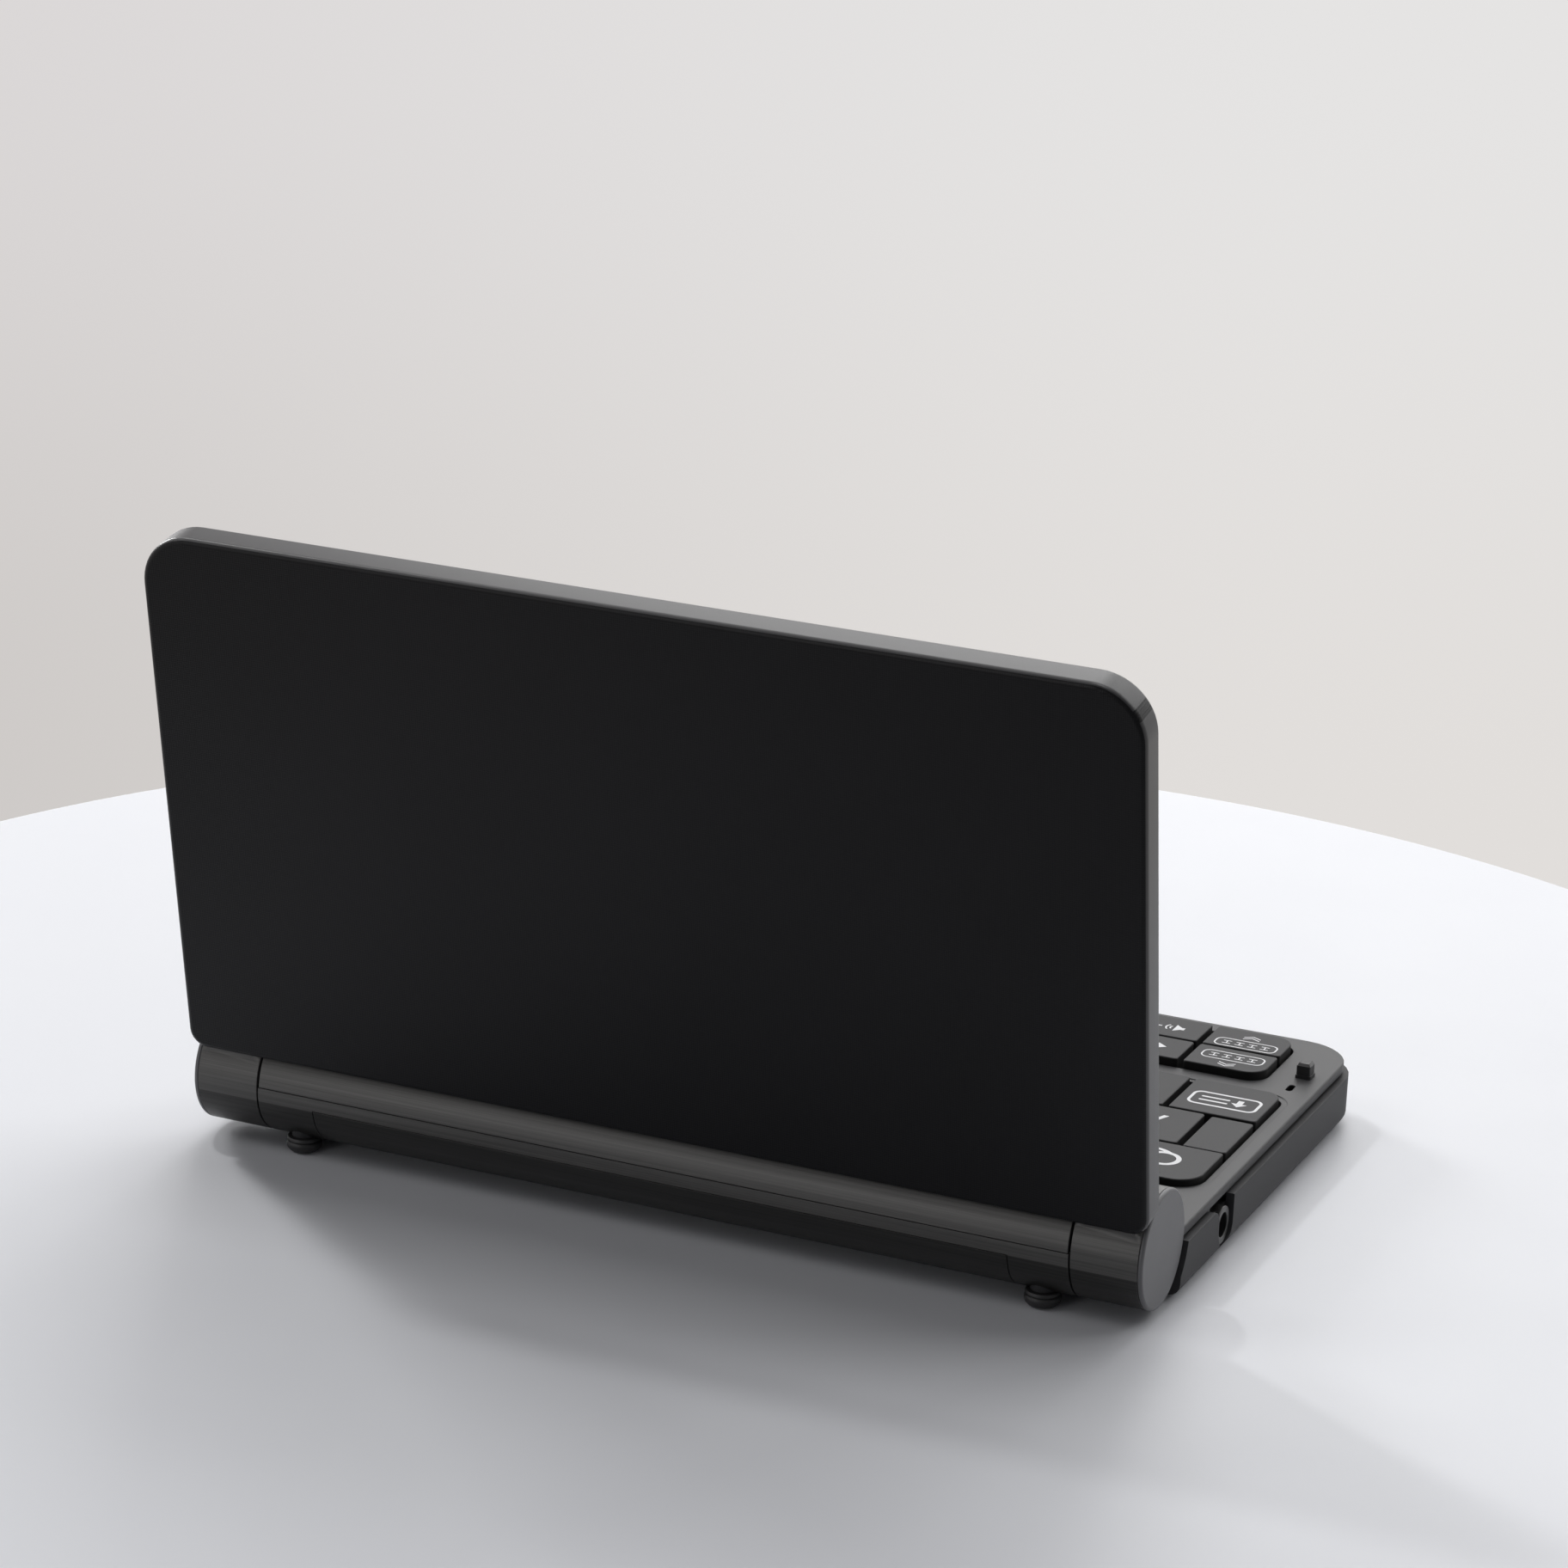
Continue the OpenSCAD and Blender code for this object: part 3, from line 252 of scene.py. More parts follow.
# ---- Lower case ----
# The bottom shell of the base: black ABS, moulded with a fine matt texture, six posts for
# its screws, a notch for the headphone socket and half of the hinge barrel at its back.
def softened(node, name, body, edge=0.12, angle=40, steps=2, smooth_to=35):
    """A copy of a CAD node, merged, with its sharp edges rounded by edge mm."""
    piece = bpy.data.objects.new(name, frame["nodes"][node].data.copy())
    bpy.context.scene.collection.objects.link(piece)
    piece.data.materials.clear()
    piece.data.transform(Matrix.Scale(1000, 4) @ Matrix.Translation(-hinge_at))
    pick(piece, "FACE", lambda face: True)
    bpy.ops.mesh.remove_doubles(threshold=0.002)
    bpy.ops.mesh.dissolve_limited(angle_limit=math.radians(0.6))
    done()
    if edge:
        rounding = piece.modifiers.new("rounding", "BEVEL")
        rounding.limit_method, rounding.angle_limit = "ANGLE", math.radians(angle)
        rounding.width, rounding.segments = edge, steps
        rounding.use_clamp_overlap = False
        bpy.ops.object.modifier_apply(modifier="rounding")
    smooth(piece, smooth_to)
    placed(piece, body, node)
    return piece


def placed(piece, body, *nodes):
    """Puts a piece made in mm from the hinge axis into the frame, in place of its nodes."""
    turn = Matrix.Rotation(lid_turn, 4, "X") if piece.get("lid_flat") else Matrix.Identity(4)
    piece.data.transform(Matrix.Translation(hinge_at) @ turn @ Matrix.Scale(0.001, 4))
    piece.data.update()
    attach(piece, body)
    if nodes:
        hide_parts(*nodes)


def moulded_black(place):
    grain = place.noise(9, 3)
    cloud = place.noise(0.15, 2)
    return {"Base Color": cloud.blend(tint(0.025, 0.025, 0.027), tint(0.032, 0.032, 0.035)),
            "Roughness": 0.5 + 0.14 * grain, "Specular IOR Level": 0.3,
            "Normal": (0.02 * grain).bump()}


case_plastic = finish("moulded_black", moulded_black)
lower_case = softened("bottom_case", "lower_case", "base", edge=0.05)
lower_case.data.materials.append(case_plastic)


def on_barrel(piece, paint, above=-9, front=-8.7):
    """Paints the faces of a shell that belong to the hinge barrel."""
    middle_half, inner_skin, outer_skin = 62.7, 7.3, 8.58
    piece.data.materials.append(paint)
    for face in piece.data.polygons:
        spot = 1000 * (face.center - hinge_at)
        on_skin = inner_skin < math.hypot(spot.y, spot.z) < outer_skin
        face.material_index = int(abs(spot.x) < middle_half and front < spot.y
                                  and above < spot.z and on_skin)


# ---- Battery cover ----
# The long door under the barrel that slides out for the two cells, with grip ribs on its flat
# front plate. The barrel's colour is brushed along its length, grey above a level just under the axis
# and dark below it.
def brushed_grey(place):
    x, y, z = place.parts()
    line = place.stretched(0.012, 2.2, 2.2).noise(1.0, 4)
    fine = place.stretched(0.03, 7.0, 7.0).noise(1.0, 2)
    brushed = (0.5 * line + 0.5 * fine).between(0.34, 0.66)
    light = brushed.blend(tint(0.066, 0.065, 0.063), tint(0.108, 0.106, 0.102))
    dark = brushed.blend(tint(0.016, 0.016, 0.0155), tint(0.034, 0.033, 0.032))
    return {"Base Color": z.between(-1.84, -1.72).blend(dark, light),
            "Roughness": 0.30 + 0.16 * fine, "Metallic": 0.25,
            "Normal": (0.010 * line + 0.006 * fine).bump()}


barrel_paint = finish("brushed_grey", brushed_grey)
battery_door = softened("battery_cover", "battery_door", "cell_door", edge=0.06)
battery_door.data.materials.append(barrel_paint)
on_barrel(lower_case, barrel_paint, front=-4.2)


# ---- Deck ----
# The top of the base: a plate painted satin grey, with a window for each key field, a shallow
# step round the upper one and a rounded rim. Its back rolls up into the hinge barrel.
def satin_grey(place):
    x, y, z = place.parts()
    grain = place.noise(14, 2)
    wall_x, wall_y, under_skin = 72.2, -86.6, -0.3
    # Faces below the deck's top skin, such as the walls of the key windows and the microphone slot, get
    # a near-black colour: painted shade in these openings.
    inside = (x.math("ABSOLUTE", x) < wall_x) * (y > wall_y) * (z < under_skin)
    paint = place.noise(0.2, 3).blend(tint(0.047, 0.047, 0.049), tint(0.055, 0.055, 0.057))
    return {"Base Color": inside.blend(paint, tint(0.010)),
            "Roughness": 0.42 + 0.12 * grain, "Metallic": 0.1, "Specular IOR Level": 0.3,
            "Normal": (0.008 * grain).bump()}


deck_paint = finish("satin_grey", satin_grey)
deck = softened("deck_cover", "deck", "base", edge=0.08)
deck.data.materials.append(deck_paint)
on_barrel(deck, barrel_paint, above=-1.55)


# ---- Lid shell ----
# The lid's outer cover: a black moulded tray with a fine diamond texture, rounded at its rim, hollow
# for the display, and scooped along its hinge edge for the barrel. Its side and front bands are a
# lighter, glossier black, the lighter colour a painted sheen.
def block(name, low, high):
    """A box between two corners, in mm from the hinge axis, to be shaped further."""
    low, high = Vector(low), Vector(high)
    bpy.ops.object.select_all(action="DESELECT")
    bpy.ops.mesh.primitive_cube_add(size=1, location=(low + high) / 2, scale=high - low)
    bpy.ops.object.transform_apply()
    bpy.context.object.name = name
    return bpy.context.object


def upright(edge):
    along = edge.verts[0].co - edge.verts[1].co
    return abs(along.z) > 0.9 * along.length


def rounded_corners(piece, radius, wanted, steps=10):
    pick(piece, "EDGE", lambda edge: upright(edge) and wanted(middle(edge)))
    bpy.ops.mesh.bevel(offset=radius, segments=steps, affect="EDGES")
    done()


def rounded_rim(piece, edge, side=1, steps=5):
    """Rounds the outline of the face that looks up (side 1) or down (side -1)."""
    level = max(side * corner.co.z for corner in piece.data.vertices) - 0.001
    pick(piece, "FACE", lambda face: side * face.normal.z > 0.9 and side * face.verts[0].co.z > level)
    bpy.ops.mesh.region_to_loop()
    bpy.ops.mesh.bevel(offset=edge, segments=steps, affect="EDGES")
    done()


def rod(name, radius, start, end, vertices=96):
    bpy.ops.object.select_all(action="DESELECT")
    bpy.ops.mesh.primitive_cylinder_add(vertices=vertices, radius=radius, depth=end - start,
                                        location=((start + end) / 2, 0, 0),
                                        rotation=(0, math.pi / 2, 0))
    bpy.ops.object.transform_apply()
    bpy.context.object.name = name
    return bpy.context.object


def carved(piece, cutter):
    """Cuts one piece out of another and removes the cutter."""
    cut = piece.modifiers.new("cut", "BOOLEAN")
    cut.operation, cut.solver, cut.object = "DIFFERENCE", "EXACT", cutter
    bpy.ops.object.select_all(action="DESELECT")
    bpy.context.view_layer.objects.active = piece
    bpy.ops.object.modifier_apply(modifier="cut")
    bpy.data.objects.remove(cutter)


def joined(piece, *others):
    bpy.ops.object.select_all(action="DESELECT")
    for other in others:
        other.select_set(True)
    piece.select_set(True)
    bpy.context.view_layer.objects.active = piece
    bpy.ops.object.join()
    return piece


def diamond_black(place):
    x, y, z = place.parts()
    pitch = 0.3
    across = x.math("COSINE", x * (2 * math.pi / pitch))
    along = y.math("COSINE", y * (2 * math.pi / pitch))
    cloud = place.noise(0.06, 2)
    return {"Base Color": cloud.blend(tint(0.0055, 0.0055, 0.0065), tint(0.0085, 0.0085, 0.0100)),
            "Roughness": 0.30 + 0.08 * place.noise(0.8, 3), "Specular IOR Level": 0.2,
            "Normal": (0.006 * (across - along)).bump()}


# The lid's side and front bands: a glossier black whose lighter colour is a painted sheen.
def rim_painted_sheen(place):
    grain = place.noise(9, 3)
    cloud = place.noise(0.1)
    return {"Base Color": cloud.blend(tint(0.024, 0.024, 0.026), tint(0.031, 0.031, 0.034)),
            "Roughness": 0.32 + 0.08 * grain, "Specular IOR Level": 0.5,
            "Normal": (0.004 * grain).bump()}


lid_plastic = finish("diamond_black", diamond_black, lid_turn)
lid_half, lid_front, lid_rear, lid_inner, lid_face = 74, -88.1, -6.3, 2.85, 7.8
bezel_seat, bezel_in, lid_wall, hollow_rear, hollow_top = 3.65, 1.0, 1.5, -9.3, 6.6
front_round, rear_round, hollow_round = 7.9, 2.8, 2
face_edge, inner_edge, scoop_radius, past_lid = 0.902, 0.6, 8.85, 80


def lid_block(name, inset, rear, low, high, rear_radius):
    """A slab in the lid's outline, inset all round, with its own rear edge."""
    slab = block(name, (-lid_half + inset, lid_front + inset, low), (lid_half - inset, rear, high))
    at_side = lid_half - inset - 0.01
    rounded_corners(slab, front_round - inset, lambda at: at.y < -50, 14)
    rounded_corners(slab, rear_radius, lambda at: at.y > rear - 0.01 and abs(at.x) > at_side, 8)
    return slab


lid_shell = lid_block("lid_shell", 0, lid_rear, lid_inner, lid_face, rear_round)
rounded_rim(lid_shell, face_edge, 1, 4)
rounded_rim(lid_shell, inner_edge, -1, 3)
recess = lid_block("recess", bezel_in, lid_rear - bezel_in, 1, bezel_seat, rear_round - bezel_in)
carved(lid_shell, recess)
carved(lid_shell, lid_block("hollow", lid_wall, hollow_rear, 3, hollow_top, hollow_round))
carved(lid_shell, rod("scoop", scoop_radius, -past_lid, past_lid, 160))
smooth(lid_shell)
lid_shell["lid_flat"] = True
lid_shell.data.materials.append(lid_plastic)
lid_shell.data.materials.append(finish("rim_painted_sheen", rim_painted_sheen, lid_turn))
# The steep faces along the lid's sides and front edge take the lighter rim colour, a painted sheen.
side_strip, front_strip, steep = 0.9, 3, 0.6
for face in lid_shell.data.polygons:
    at_edge = abs(face.center.x) > lid_half - side_strip or face.center.y < lid_front + front_strip
    face.material_index = int(abs(face.normal.z) < steep and at_edge)
placed(lid_shell, "lid", "lid_back_cover")


# ---- Lid bezel ----
# The frame round the screen, clipped and screwed into the lid shell from the inside. It is
# plain black plastic, a little glossier than the shell, with a thin lip into the hollow.
def bezel_black(place):
    grain = place.noise(11, 2)
    return {"Base Color": place.noise(0.12).blend(tint(0.020, 0.020, 0.022), tint(0.026, 0.026, 0.028)),
            "Roughness": 0.36 + 0.12 * grain, "Normal": (0.010 * grain).bump()}


bezel = softened("lid_bezel", "bezel", "lid", edge=0.1)
bezel.data.materials.append(finish("bezel_black", bezel_black, lid_turn))


# ---- Screen window ----
# A clear hard-coated acrylic sheet glued into the bezel's recess. Its back is printed black
# round the picture.
def clear_window(place):
    x, y, z = place.parts()
    across = (x.math("ABSOLUTE", x)).between(57.0, 57.2)
    along = ((y + 48.7).math("ABSOLUTE", y + 48.7)).between(31.5, 31.7)
    border = across.math("MAXIMUM", across, along)
    return {"Base Color": border.blend(tint(0.02), tint(0.006)),
            "Roughness": 0.04 + 0.03 * place.noise(0.3, 3), "Coat Weight": 0.3,
            "Alpha": 0.14 + 0.86 * border}


window = block("window", (-60.5, -83.7, 2.85), (60.5, -13.7, 3.75))
rounded_corners(window, 1.0, lambda at: True, 5)
rounded_rim(window, 0.15, -1, 2)
smooth(window)
window["lid_flat"] = True
window.data.materials.append(finish("clear_window", clear_window, lid_turn))
placed(window, "lid", "screen_window")


# ---- Display module ----
# The liquid crystal panel behind the window: a dark glass face with a fine grid of dots in a
# thin metal frame, and a flat cable tab at its hinge edge.
def dark_display(place):
    x, y, z = place.parts()
    dot_pitch, dot_gap = 0.24, 0.12
    dot_x = x.math("FRACT", x / dot_pitch) < dot_gap
    dot_y = y.math("FRACT", y / dot_pitch) < dot_gap
    grid = dot_x.math("MAXIMUM", dot_x, dot_y)
    return {"Base Color": grid.blend(tint(0.030, 0.036, 0.034), tint(0.016, 0.019, 0.018)),
            "Roughness": 0.26 + 0.02 * place.noise(0.4), "Normal": (0.002 * grid).bump()}


display = softened("display_module", "display", "lid", edge=0.1)
display.data.materials.append(finish("dark_display", dark_display, lid_turn))


# ---- Hinge knuckles and caps ----
# The two ends of the barrel turn with the lid. Each is a short tube on a tongue that the lid
# screws hold, closed by a pressed-in end cap with a softly rounded rim.
knuckle_tubes = softened("knuckles", "knuckle_tubes", "lid", edge=0.12)
knuckle_tubes.data.materials.append(barrel_paint)


def turned(name, profile, axis, steps=72):
    """Spins a profile of (along, out) points in mm round the hinge axis or an upright one."""
    corners = [(a, 0, r) for a, r in profile] if axis == "X" else [(r, 0, a) for a, r in profile]
    line = bpy.data.meshes.new(name)
    line.from_pydata(corners, [(i, i + 1) for i in range(len(corners) - 1)], [])
    piece = bpy.data.objects.new(name, line)
    bpy.context.scene.collection.objects.link(piece)
    pick(piece, "VERT", lambda corner: True)
    bpy.ops.mesh.spin(steps=steps, angle=2 * math.pi, center=(0, 0, 0),
                      axis=(1, 0, 0) if axis == "X" else (0, 0, 1))
    bpy.ops.mesh.select_all(action="SELECT")
    bpy.ops.mesh.remove_doubles(threshold=0.0005)
    bpy.ops.mesh.normals_make_consistent(inside=False)
    done()
    return piece


def cap_grey(place):
    x, y, z = place.parts()
    grain = place.noise(10, 3)
    return {"Base Color": place.noise(0.3).blend(tint(0.118, 0.118, 0.123), tint(0.132, 0.132, 0.138)),
            "Roughness": 0.4 + 0.12 * grain, "Metallic": 0.15, "Normal": (0.006 * grain).bump()}


cap_from, cap_face, cap_radius, cap_round = 72.76, 73.45, 8.55, 0.4
plug_from, plug_radius, back_edge = 70.8, 7.2, 0.12
rim = [(cap_face - cap_round + cap_round * math.sin(a),
        cap_radius - cap_round + cap_round * math.cos(a))
       for a in [math.radians(15 * step) for step in range(7)]]
cap = turned("cap", [(plug_from, 0), (plug_from, plug_radius), (cap_from, plug_radius),
                     (cap_from, cap_radius - back_edge), (cap_from + back_edge, cap_radius)]
             + rim + [(cap_face, 0)], "X")
other_cap = bpy.data.objects.new("other_cap", cap.data.copy())
bpy.context.scene.collection.objects.link(other_cap)
other_cap.data.transform(Matrix.Scale(-1, 4, (1, 0, 0)))
other_cap.data.flip_normals()
end_caps = joined(cap, other_cap)
end_caps.name = "end_caps"
smooth(end_caps, 40)
end_caps.data.materials.append(finish("cap_grey", cap_grey))
placed(end_caps, "lid", "knuckle_caps")


# ---- Keys ----
# Every key is a cap with a flat grey painted top, black sides and a white printed legend. It
# stands on a plunger over its rubber dome, in one of the two windows of the deck.
def key_top_grey(place):
    grain = place.noise(13, 2)
    cloud = place.noise(0.25, 2)
    return {"Base Color": cloud.blend(tint(0.021, 0.021, 0.023), tint(0.026, 0.026, 0.028)),
            "Roughness": 0.45 + 0.12 * grain, "Specular IOR Level": 0.2,
            "Normal": (0.006 * grain).bump()}


def key_side_black(place):
    grain = place.noise(12, 2)
    return {"Base Color": place.noise(0.5).blend(tint(0.008), tint(0.012)),
            "Roughness": 0.5 + 0.12 * grain, "Specular IOR Level": 0.3,
            "Normal": (0.004 * grain).bump()}


def white_print(place):
    speck = place.noise(6, 3)
    return {"Base Color": speck.blend(tint(0.78, 0.78, 0.80), tint(0.88, 0.88, 0.89)),
            "Roughness": 0.5 + 0.1 * speck, "Normal": (0.002 * speck).bump()}


key_finishes = [finish("key_side_black", key_side_black), finish("key_top_grey", key_top_grey),
                finish("white_print", white_print)]


def box_mm(node):
    return [1000 * (corner - hinge_at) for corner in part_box(node)]


def faces_painted(piece, level):
    """Gives the faces round the top their paint, and leaves the sides black."""
    for face in piece.data.polygons:
        face.material_index = int(face.normal.z > 0.3 and face.center.z > level)


def key_cap(node, radii=None, edge=0.22):
    """A key by its node's box, with corner radii by (side, end), such as {(-1, 1): 4}."""
    low, high = box_mm(node)
    plunger, into_cap, plunger_radius, two_plungers_from = 0.15, 0.2, 1.6, 1.6 * 14.06
    cap = block("cap_" + node[4:], (low.x, low.y, low.z + plunger), high)
    centre, width = (low + high) / 2, high.x - low.x
    for side in (-1, 1):
        for end in (-1, 1):
            radius = (radii or {}).get((side, end), 0.5)
            at_x, at_y = (high.x if side > 0 else low.x), (high.y if end > 0 else low.y)
            rounded_corners(cap, radius,
                            lambda at: abs(at.x - at_x) < 0.01 and abs(at.y - at_y) < 0.01,
                            4 if radius < 1 else 8)
    rounded_rim(cap, edge, 1, 3)
    for index in (-1, 1) if width > two_plungers_from else (0,):
        foot_at = (centre.x + index * width / 4, centre.y, low.z + (plunger + into_cap) / 2)
        bpy.ops.object.select_all(action="DESELECT")
        bpy.ops.mesh.primitive_cylinder_add(vertices=24, radius=plunger_radius,
                                            depth=plunger + into_cap, location=foot_at)
        bpy.ops.object.transform_apply()
        foot = bpy.context.object
        rounded_rim(foot, 0.05, -1, 1)
        joined(cap, foot)
    for paint in key_finishes:
        cap.data.materials.append(paint)
    faces_painted(cap, high.z - edge - 0.01)
    smooth(cap)
    return cap


def print_on(cap, outlines, at, top):
    """Prints closed flat outlines, in mm round a point, on the top of a key."""
    drawing = bpy.data.curves.new("print", "CURVE")
    drawing.dimensions, drawing.fill_mode, drawing.extrude = "2D", "BOTH", 0.01
    for outline in outlines:
        line = drawing.splines.new("POLY")
        line.points.add(len(outline) - 1)
        for point, (x, y) in zip(line.points, outline):
            point.co = (x, y, 0, 1)
        line.use_cyclic_u = True
    ink = bpy.data.objects.new("print", drawing)
    bpy.context.scene.collection.objects.link(ink)
    inked(cap, ink, at, top)


def inked(cap, ink, at, top):
    bpy.ops.object.select_all(action="DESELECT")
    ink.select_set(True)
    bpy.context.view_layer.objects.active = ink
    bpy.ops.object.convert(target="MESH")
    ink = bpy.context.object
    ink.data.transform(Matrix.Translation((at[0], at[1], top)))
    ink.data.materials.clear()
    for paint in key_finishes:
        ink.data.materials.append(paint)
    for face in ink.data.polygons:
        face.material_index = 2
    joined(cap, ink)


letter_height, letter_stretch, wide_stretch = 5.8, 0.82, 0.70
capital_share = 0.729


def print_letter(cap, letter, at, top):
    bpy.ops.object.select_all(action="DESELECT")
    bpy.ops.object.text_add(location=(0, 0, 0))
    text = bpy.context.object
    text.data.body, text.data.align_x, text.data.extrude = letter, "CENTER", 0.01
    text.data.size = letter_height / capital_share
    text.data.offset = 0 if letter == "M" else 0.02
    text.scale.x = wide_stretch if letter in "OQ" else letter_stretch
    bpy.ops.object.transform_apply(location=False, rotation=False)
    inked(cap, text, (at[0], at[1] - letter_height / 2), top)


def ring(width, depth, radius, line):
    """Two outlines that leave a rounded frame between them."""
    return [rounded(width, depth, radius), rounded(width - 2 * line, depth - 2 * line, radius - line)]


def rounded(width, depth, radius, at=(0, 0)):
    corners = [(1, 1, 0), (-1, 1, 90), (-1, -1, 180), (1, -1, 270)]
    return [(at[0] + sx * (width / 2 - radius) + radius * math.cos(math.radians(turn + step)),
             at[1] + sy * (depth / 2 - radius) + radius * math.sin(math.radians(turn + step)))
            for sx, sy, turn in corners for step in range(0, 91, 15)]


def chevron(at, width, rise, line, up=1):
    x, y = at
    return [(x - width / 2, y), (x, y + up * rise), (x + width / 2, y),
            (x + width / 2, y + up * line), (x, y + up * (rise + line)), (x - width / 2, y + up * line)]


def arc(radius, line, low, high, at=(0, 0)):
    angles = [math.radians(low + (high - low) * step / 10) for step in range(11)]
    there = [(radius + line, a) for a in angles]
    back = [(radius, a) for a in reversed(angles)]
    return [(at[0] + out * math.cos(a), at[1] + out * math.sin(a)) for out, a in there + back]


def arrow(at, length, width, head, shaft, turn):
    """An arrow round a point, pointing along turn degrees."""
    half = length / 2
    flat = [(-half, -shaft / 2), (half - head, -shaft / 2), (half - head, -width / 2), (half, 0),
            (half - head, width / 2), (half - head, shaft / 2), (-half, shaft / 2)]
    c, s = math.cos(math.radians(turn)), math.sin(math.radians(turn))
    return [(at[0] + x * c - y * s, at[1] + x * s + y * c) for x, y in flat]


bars = [rounded(*part) for x in (-3.0, -1.0, 1.0, 3.0) for part in (
    (1.3, 0.2, 0.06, (x, 0.52)), (1.3, 0.2, 0.06, (x, -0.52)), (0.2, 0.84, 0.06, (x, 0)))]
page_ring, page_arrow = (9.8, 3.3, 1.2, 0.24), (2.6, 0.7, 0.25)
star_points = [(reach * math.sin(math.pi * i / 5), reach * math.cos(math.pi * i / 5))
               for i, reach in enumerate((2.9, 2.9 * 0.42) * 5)]
legends = {
    "shift": ring(10.7, 5.3, 1.4, 0.45) + [arrow((-2.2, 0), 2.6, 2.4, 1.3, 0.9, 90)]
    + [rounded(4.4, 0.45, 0.2, (1.6, y)) for y in (0.7, -0.7)],
    "delete": ring(10.0, 5.0, 1.6, 0.45) + [arrow((0, 0), 5.6, 2.6, 1.8, 0.6, 180)],
    "previous": ring(*page_ring) + bars + [chevron((0, y), *page_arrow) for y in (2.5, 3.2)],
    "next": ring(*page_ring) + bars + [chevron((0, y), *page_arrow, -1) for y in (-2.3, -3.0)],
    "jump": [arrow((0, 0), 5.0, 2.4, 1.6, 0.6, 180)],
    "speaker": [[(-1.95, -0.45), (-1.4, -0.45), (-0.4, -1.35), (-0.4, 1.35), (-1.4, 0.45),
                 (-1.95, 0.45)],
                arc(0.6, 0.25, -45, 45, (-0.4, 0)), arc(1.25, 0.25, -45, 45, (-0.4, 0)),
                rounded(1.1, 0.32, 0.12, (2.2, 0))],
    "menu": [rounded(6.4, 0.8, 0.3, (0, y)) for y in (-1.9, 0, 1.9)],
    "back": [arrow((0, 0), 6.6, 4.0, 2.6, 0.9, 180)],
    "home": [[(-3.2, 0.2), (0, 3.0), (3.2, 0.2), (2.4, 0.2), (2.4, -2.6), (0.8, -2.6), (0.8, -0.8),
              (-0.8, -0.8), (-0.8, -2.6), (-2.4, -2.6), (-2.4, 0.2)]],
    "star": [star_points],
    "enter": [arrow((0, 0), 5.2, 2.6, 1.8, 0.6, 180)],
}
spots = {"previous": (-0.15, -0.75), "next": (-0.15, 2.0), "jump": (-0.6, 0.0),
         "speaker": (-1.05, 0.25), "shift": (-0.13, 0.83)}
letter_in = 0.4
upper_turn, front_turn, lower_turn, pill = 4.0, 2.5, 3.0, 3.69
corner_radii = {
    "q": {(-1, 1): upper_turn}, "p": {(1, 1): upper_turn},
    "shift": {(-1, -1): front_turn}, "delete": {(1, -1): front_turn},
    "previous": {(-1, 1): lower_turn}, "next": {(-1, -1): lower_turn},
    "star": {(1, 1): lower_turn, (1, -1): lower_turn},
    "enter": {(side, end): pill for side in (-1, 1) for end in (-1, 1)},
}
plain_cap = None
for node in sorted(name for name in frame["nodes"] if name.startswith("key_")):
    key = node[4:]
    low, high = box_mm(node)
    centre = (low + high) / 2
    if len(key) == 1 and key not in "qp":
        if plain_cap is None:
            plain_cap = key_cap(node)
            plain_at = centre
            plain_cap.name = "plain_cap"
        cap = bpy.data.objects.new("cap_" + key, plain_cap.data.copy())
        bpy.context.scene.collection.objects.link(cap)
        cap.data.transform(Matrix.Translation(centre - plain_at))
    else:
        cap = key_cap(node, corner_radii.get(key))
    if len(key) == 1:
        print_letter(cap, key.upper(), (centre.x + letter_in, centre.y), high.z)
    else:
        x, y = spots.get(key, (0, 0))
        print_on(cap, legends[key], (centre.x + x, centre.y + y), high.z)
    placed(cap, node, node)
bpy.data.objects.remove(plain_cap)


# ---- Fillers and cursor ring ----
# The two half-wide blank keys at the ends of the middle row are fixed fillers, and the ring
# round the enter key rocks to move the cursor. Both are moulded and painted like the keys.
cap_edge, filler_lift = 0.00025, 0.00025
for node, name, body in (("blank_keys", "filler_caps", "base"),
                         ("cursor_ring", "cursor_cap", "cursor_ring")):
    cap = softened(node, name, body, edge=0.2, steps=3)
    for paint in key_finishes:
        cap.data.materials.append(paint)
    if node == "blank_keys":
        cap.data.transform(Matrix.Translation((0, 0, filler_lift)))
    faces_painted(cap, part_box(node)[1].z - cap_edge)


# ---- Rubber dome sheet ----
# One moulded sheet of translucent grey silicone with a dome under each key. It is laid on
# the main board and held down by the deck.
def silicone(place):
    cloud = place.noise(0.4, 3)
    return {"Base Color": cloud.blend(tint(0.42, 0.42, 0.43), tint(0.50, 0.50, 0.51)),
            "Roughness": 0.55 + 0.1 * cloud, "Normal": (0.01 * place.noise(5)).bump()}


def dressed(node, paint):
    """A CAD node that keeps its own shape and gets a finish."""
    piece = frame["nodes"][node]
    piece.data.materials.clear()
    piece.data.materials.append(paint)


dressed("dome_sheet", finish("silicone", silicone))


# ---- Main board ----
# The circuit board lies on its posts in the case, with green solder mask over its tracks, the
# chips on its underside and the small black microphone on top, under its slot.
def solder_mask(place):
    x, y, z = place.parts()
    tracks = place.node("TexVoronoi", {"feature": "DISTANCE_TO_EDGE"},
                        {"Vector": place.stretched(1.0, 0.35, 0), "Scale": 0.6}) < 0.06
    green = tracks.blend(tint(0.010, 0.075, 0.030), tint(0.030, 0.130, 0.055))
    return {"Base Color": (z > microphone).blend(green, tint(0.004)),
            "Roughness": 0.3 + 0.1 * place.noise(2), "Coat Weight": 0.3,
            "Normal": (0.02 * tracks).bump()}


microphone = box_mm("main_board")[1].z - 1.2
dressed("main_board", finish("solder_mask", solder_mask))


